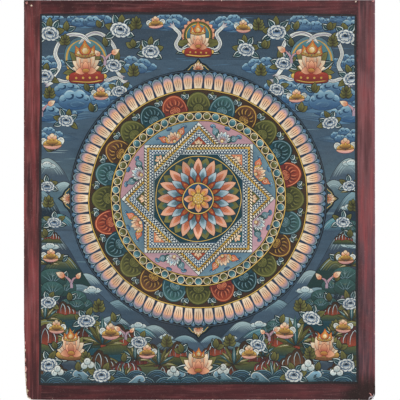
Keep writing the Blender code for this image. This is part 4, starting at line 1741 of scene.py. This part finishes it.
edge_line = worn_edge_line()
frayed, thread_sizes = frayed_tree(cotton_thread())
fraying = edge_line.modifiers.new("fraying", "NODES")
fraying.node_group = frayed
for identifier, value in thread_sizes.items():
    fraying[identifier] = value
evaluated = edge_line.evaluated_get(bpy.context.evaluated_depsgraph_get())
threads = bpy.data.objects.new("frayed_threads", bpy.data.meshes.new_from_object(evaluated))
bpy.context.scene.collection.objects.link(threads)
bpy.data.objects.remove(edge_line, do_unlink=True)
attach(threads, "root")

# ---------------------------------------------------------------------------------------------
# Stage: a plain pale floor under the hanging sheet, soft studio light from both sides and above,
# and a camera square to the picture.
# ---------------------------------------------------------------------------------------------

CAMERA_DISTANCE = 2.2
PHOTO_SIDE = 400
PIXEL = 0.001
SHEET_MIDDLE = Vector((0, 0, -CANVAS_HEIGHT * MM / 2))
FLOOR_LEVEL = -0.95
FLOOR_REACH = 4.0


def soft_lamp(name, place, side, watts):
    """A large square lamp that faces the middle of the sheet."""
    lamp = bpy.data.lights.new(name, "AREA")
    lamp.shape = "SQUARE"
    lamp.size = side
    lamp.energy = watts
    holder = bpy.data.objects.new(name, lamp)
    holder.location = place
    holder.rotation_euler = (SHEET_MIDDLE - Vector(place)).to_track_quat("-Z", "Y").to_euler()
    bpy.context.scene.collection.objects.link(holder)


def pale_floor():
    """Smooth pale grey card."""
    material, shader, start = new_finish("pale_card")
    place = start.node("ShaderNodeTexCoord", {}, {}, "Object")
    tint = place.noise(3.0, 2.0).mixed(colour("f2f2f0"), colour("ecece9"))
    drive(start, shader, Base_Color=tint)
    shader.inputs["Roughness"].default_value = 0.9
    return material


cradle = bmesh.new()
bmesh.ops.create_grid(cradle, x_segments=4, y_segments=4, size=FLOOR_REACH)
for vert in cradle.verts:
    vert.co.z = FLOOR_LEVEL
floor_mesh = bpy.data.meshes.new("pale_floor")
cradle.to_mesh(floor_mesh)
cradle.free()
floor = bpy.data.objects.new("pale_floor", floor_mesh)
bpy.context.scene.collection.objects.link(floor)
floor.data.materials.append(pale_floor())

soft_lamp("left_softbox", (-1.5, -1.9, 0.75), 1.3, 12.4)
soft_lamp("right_softbox", (1.5, -1.9, 0.55), 1.3, 9.9)
soft_lamp("back_softbox", (0.4, 2.4, 1.3), 1.6, 24)

# The room: white where the camera looks past the sheet, softer where it lights the sheet
ROOM_LIGHT = 0.62
world = bpy.data.worlds.new("white_room")
world.use_nodes = True
room = Finish(world.node_tree, None)
seen = room.node("ShaderNodeLightPath", {}, {})
behind_sheet = room.node("ShaderNodeBackground", {}, {"Color": (1, 1, 1, 1), "Strength": 1.0})
on_sheet = room.node("ShaderNodeBackground", {}, {"Color": (1, 1, 1, 1), "Strength": ROOM_LIGHT})
walls = room.node("ShaderNodeMixShader", {}, {"Fac": seen, "Shader": on_sheet, "Shader_001": behind_sheet})
world.node_tree.links.new(walls.socket, world.node_tree.nodes["World Output"].inputs["Surface"])
bpy.context.scene.world = world
bpy.context.scene.view_settings.view_transform = "Standard"

lens = bpy.data.cameras.new("square_on")
lens.sensor_width = 36.0
lens.lens = lens.sensor_width * CAMERA_DISTANCE / (PHOTO_SIDE * PIXEL)
camera = bpy.data.objects.new("square_on", lens)
# The picture's frame is 400 pixels square; its middle is half a pixel right of the cloth's own.
camera.location = SHEET_MIDDLE + Vector((PIXEL / 2, -CAMERA_DISTANCE, 0))
camera.rotation_euler = (math.radians(90), 0, 0)
bpy.context.scene.collection.objects.link(camera)
bpy.context.scene.camera = camera
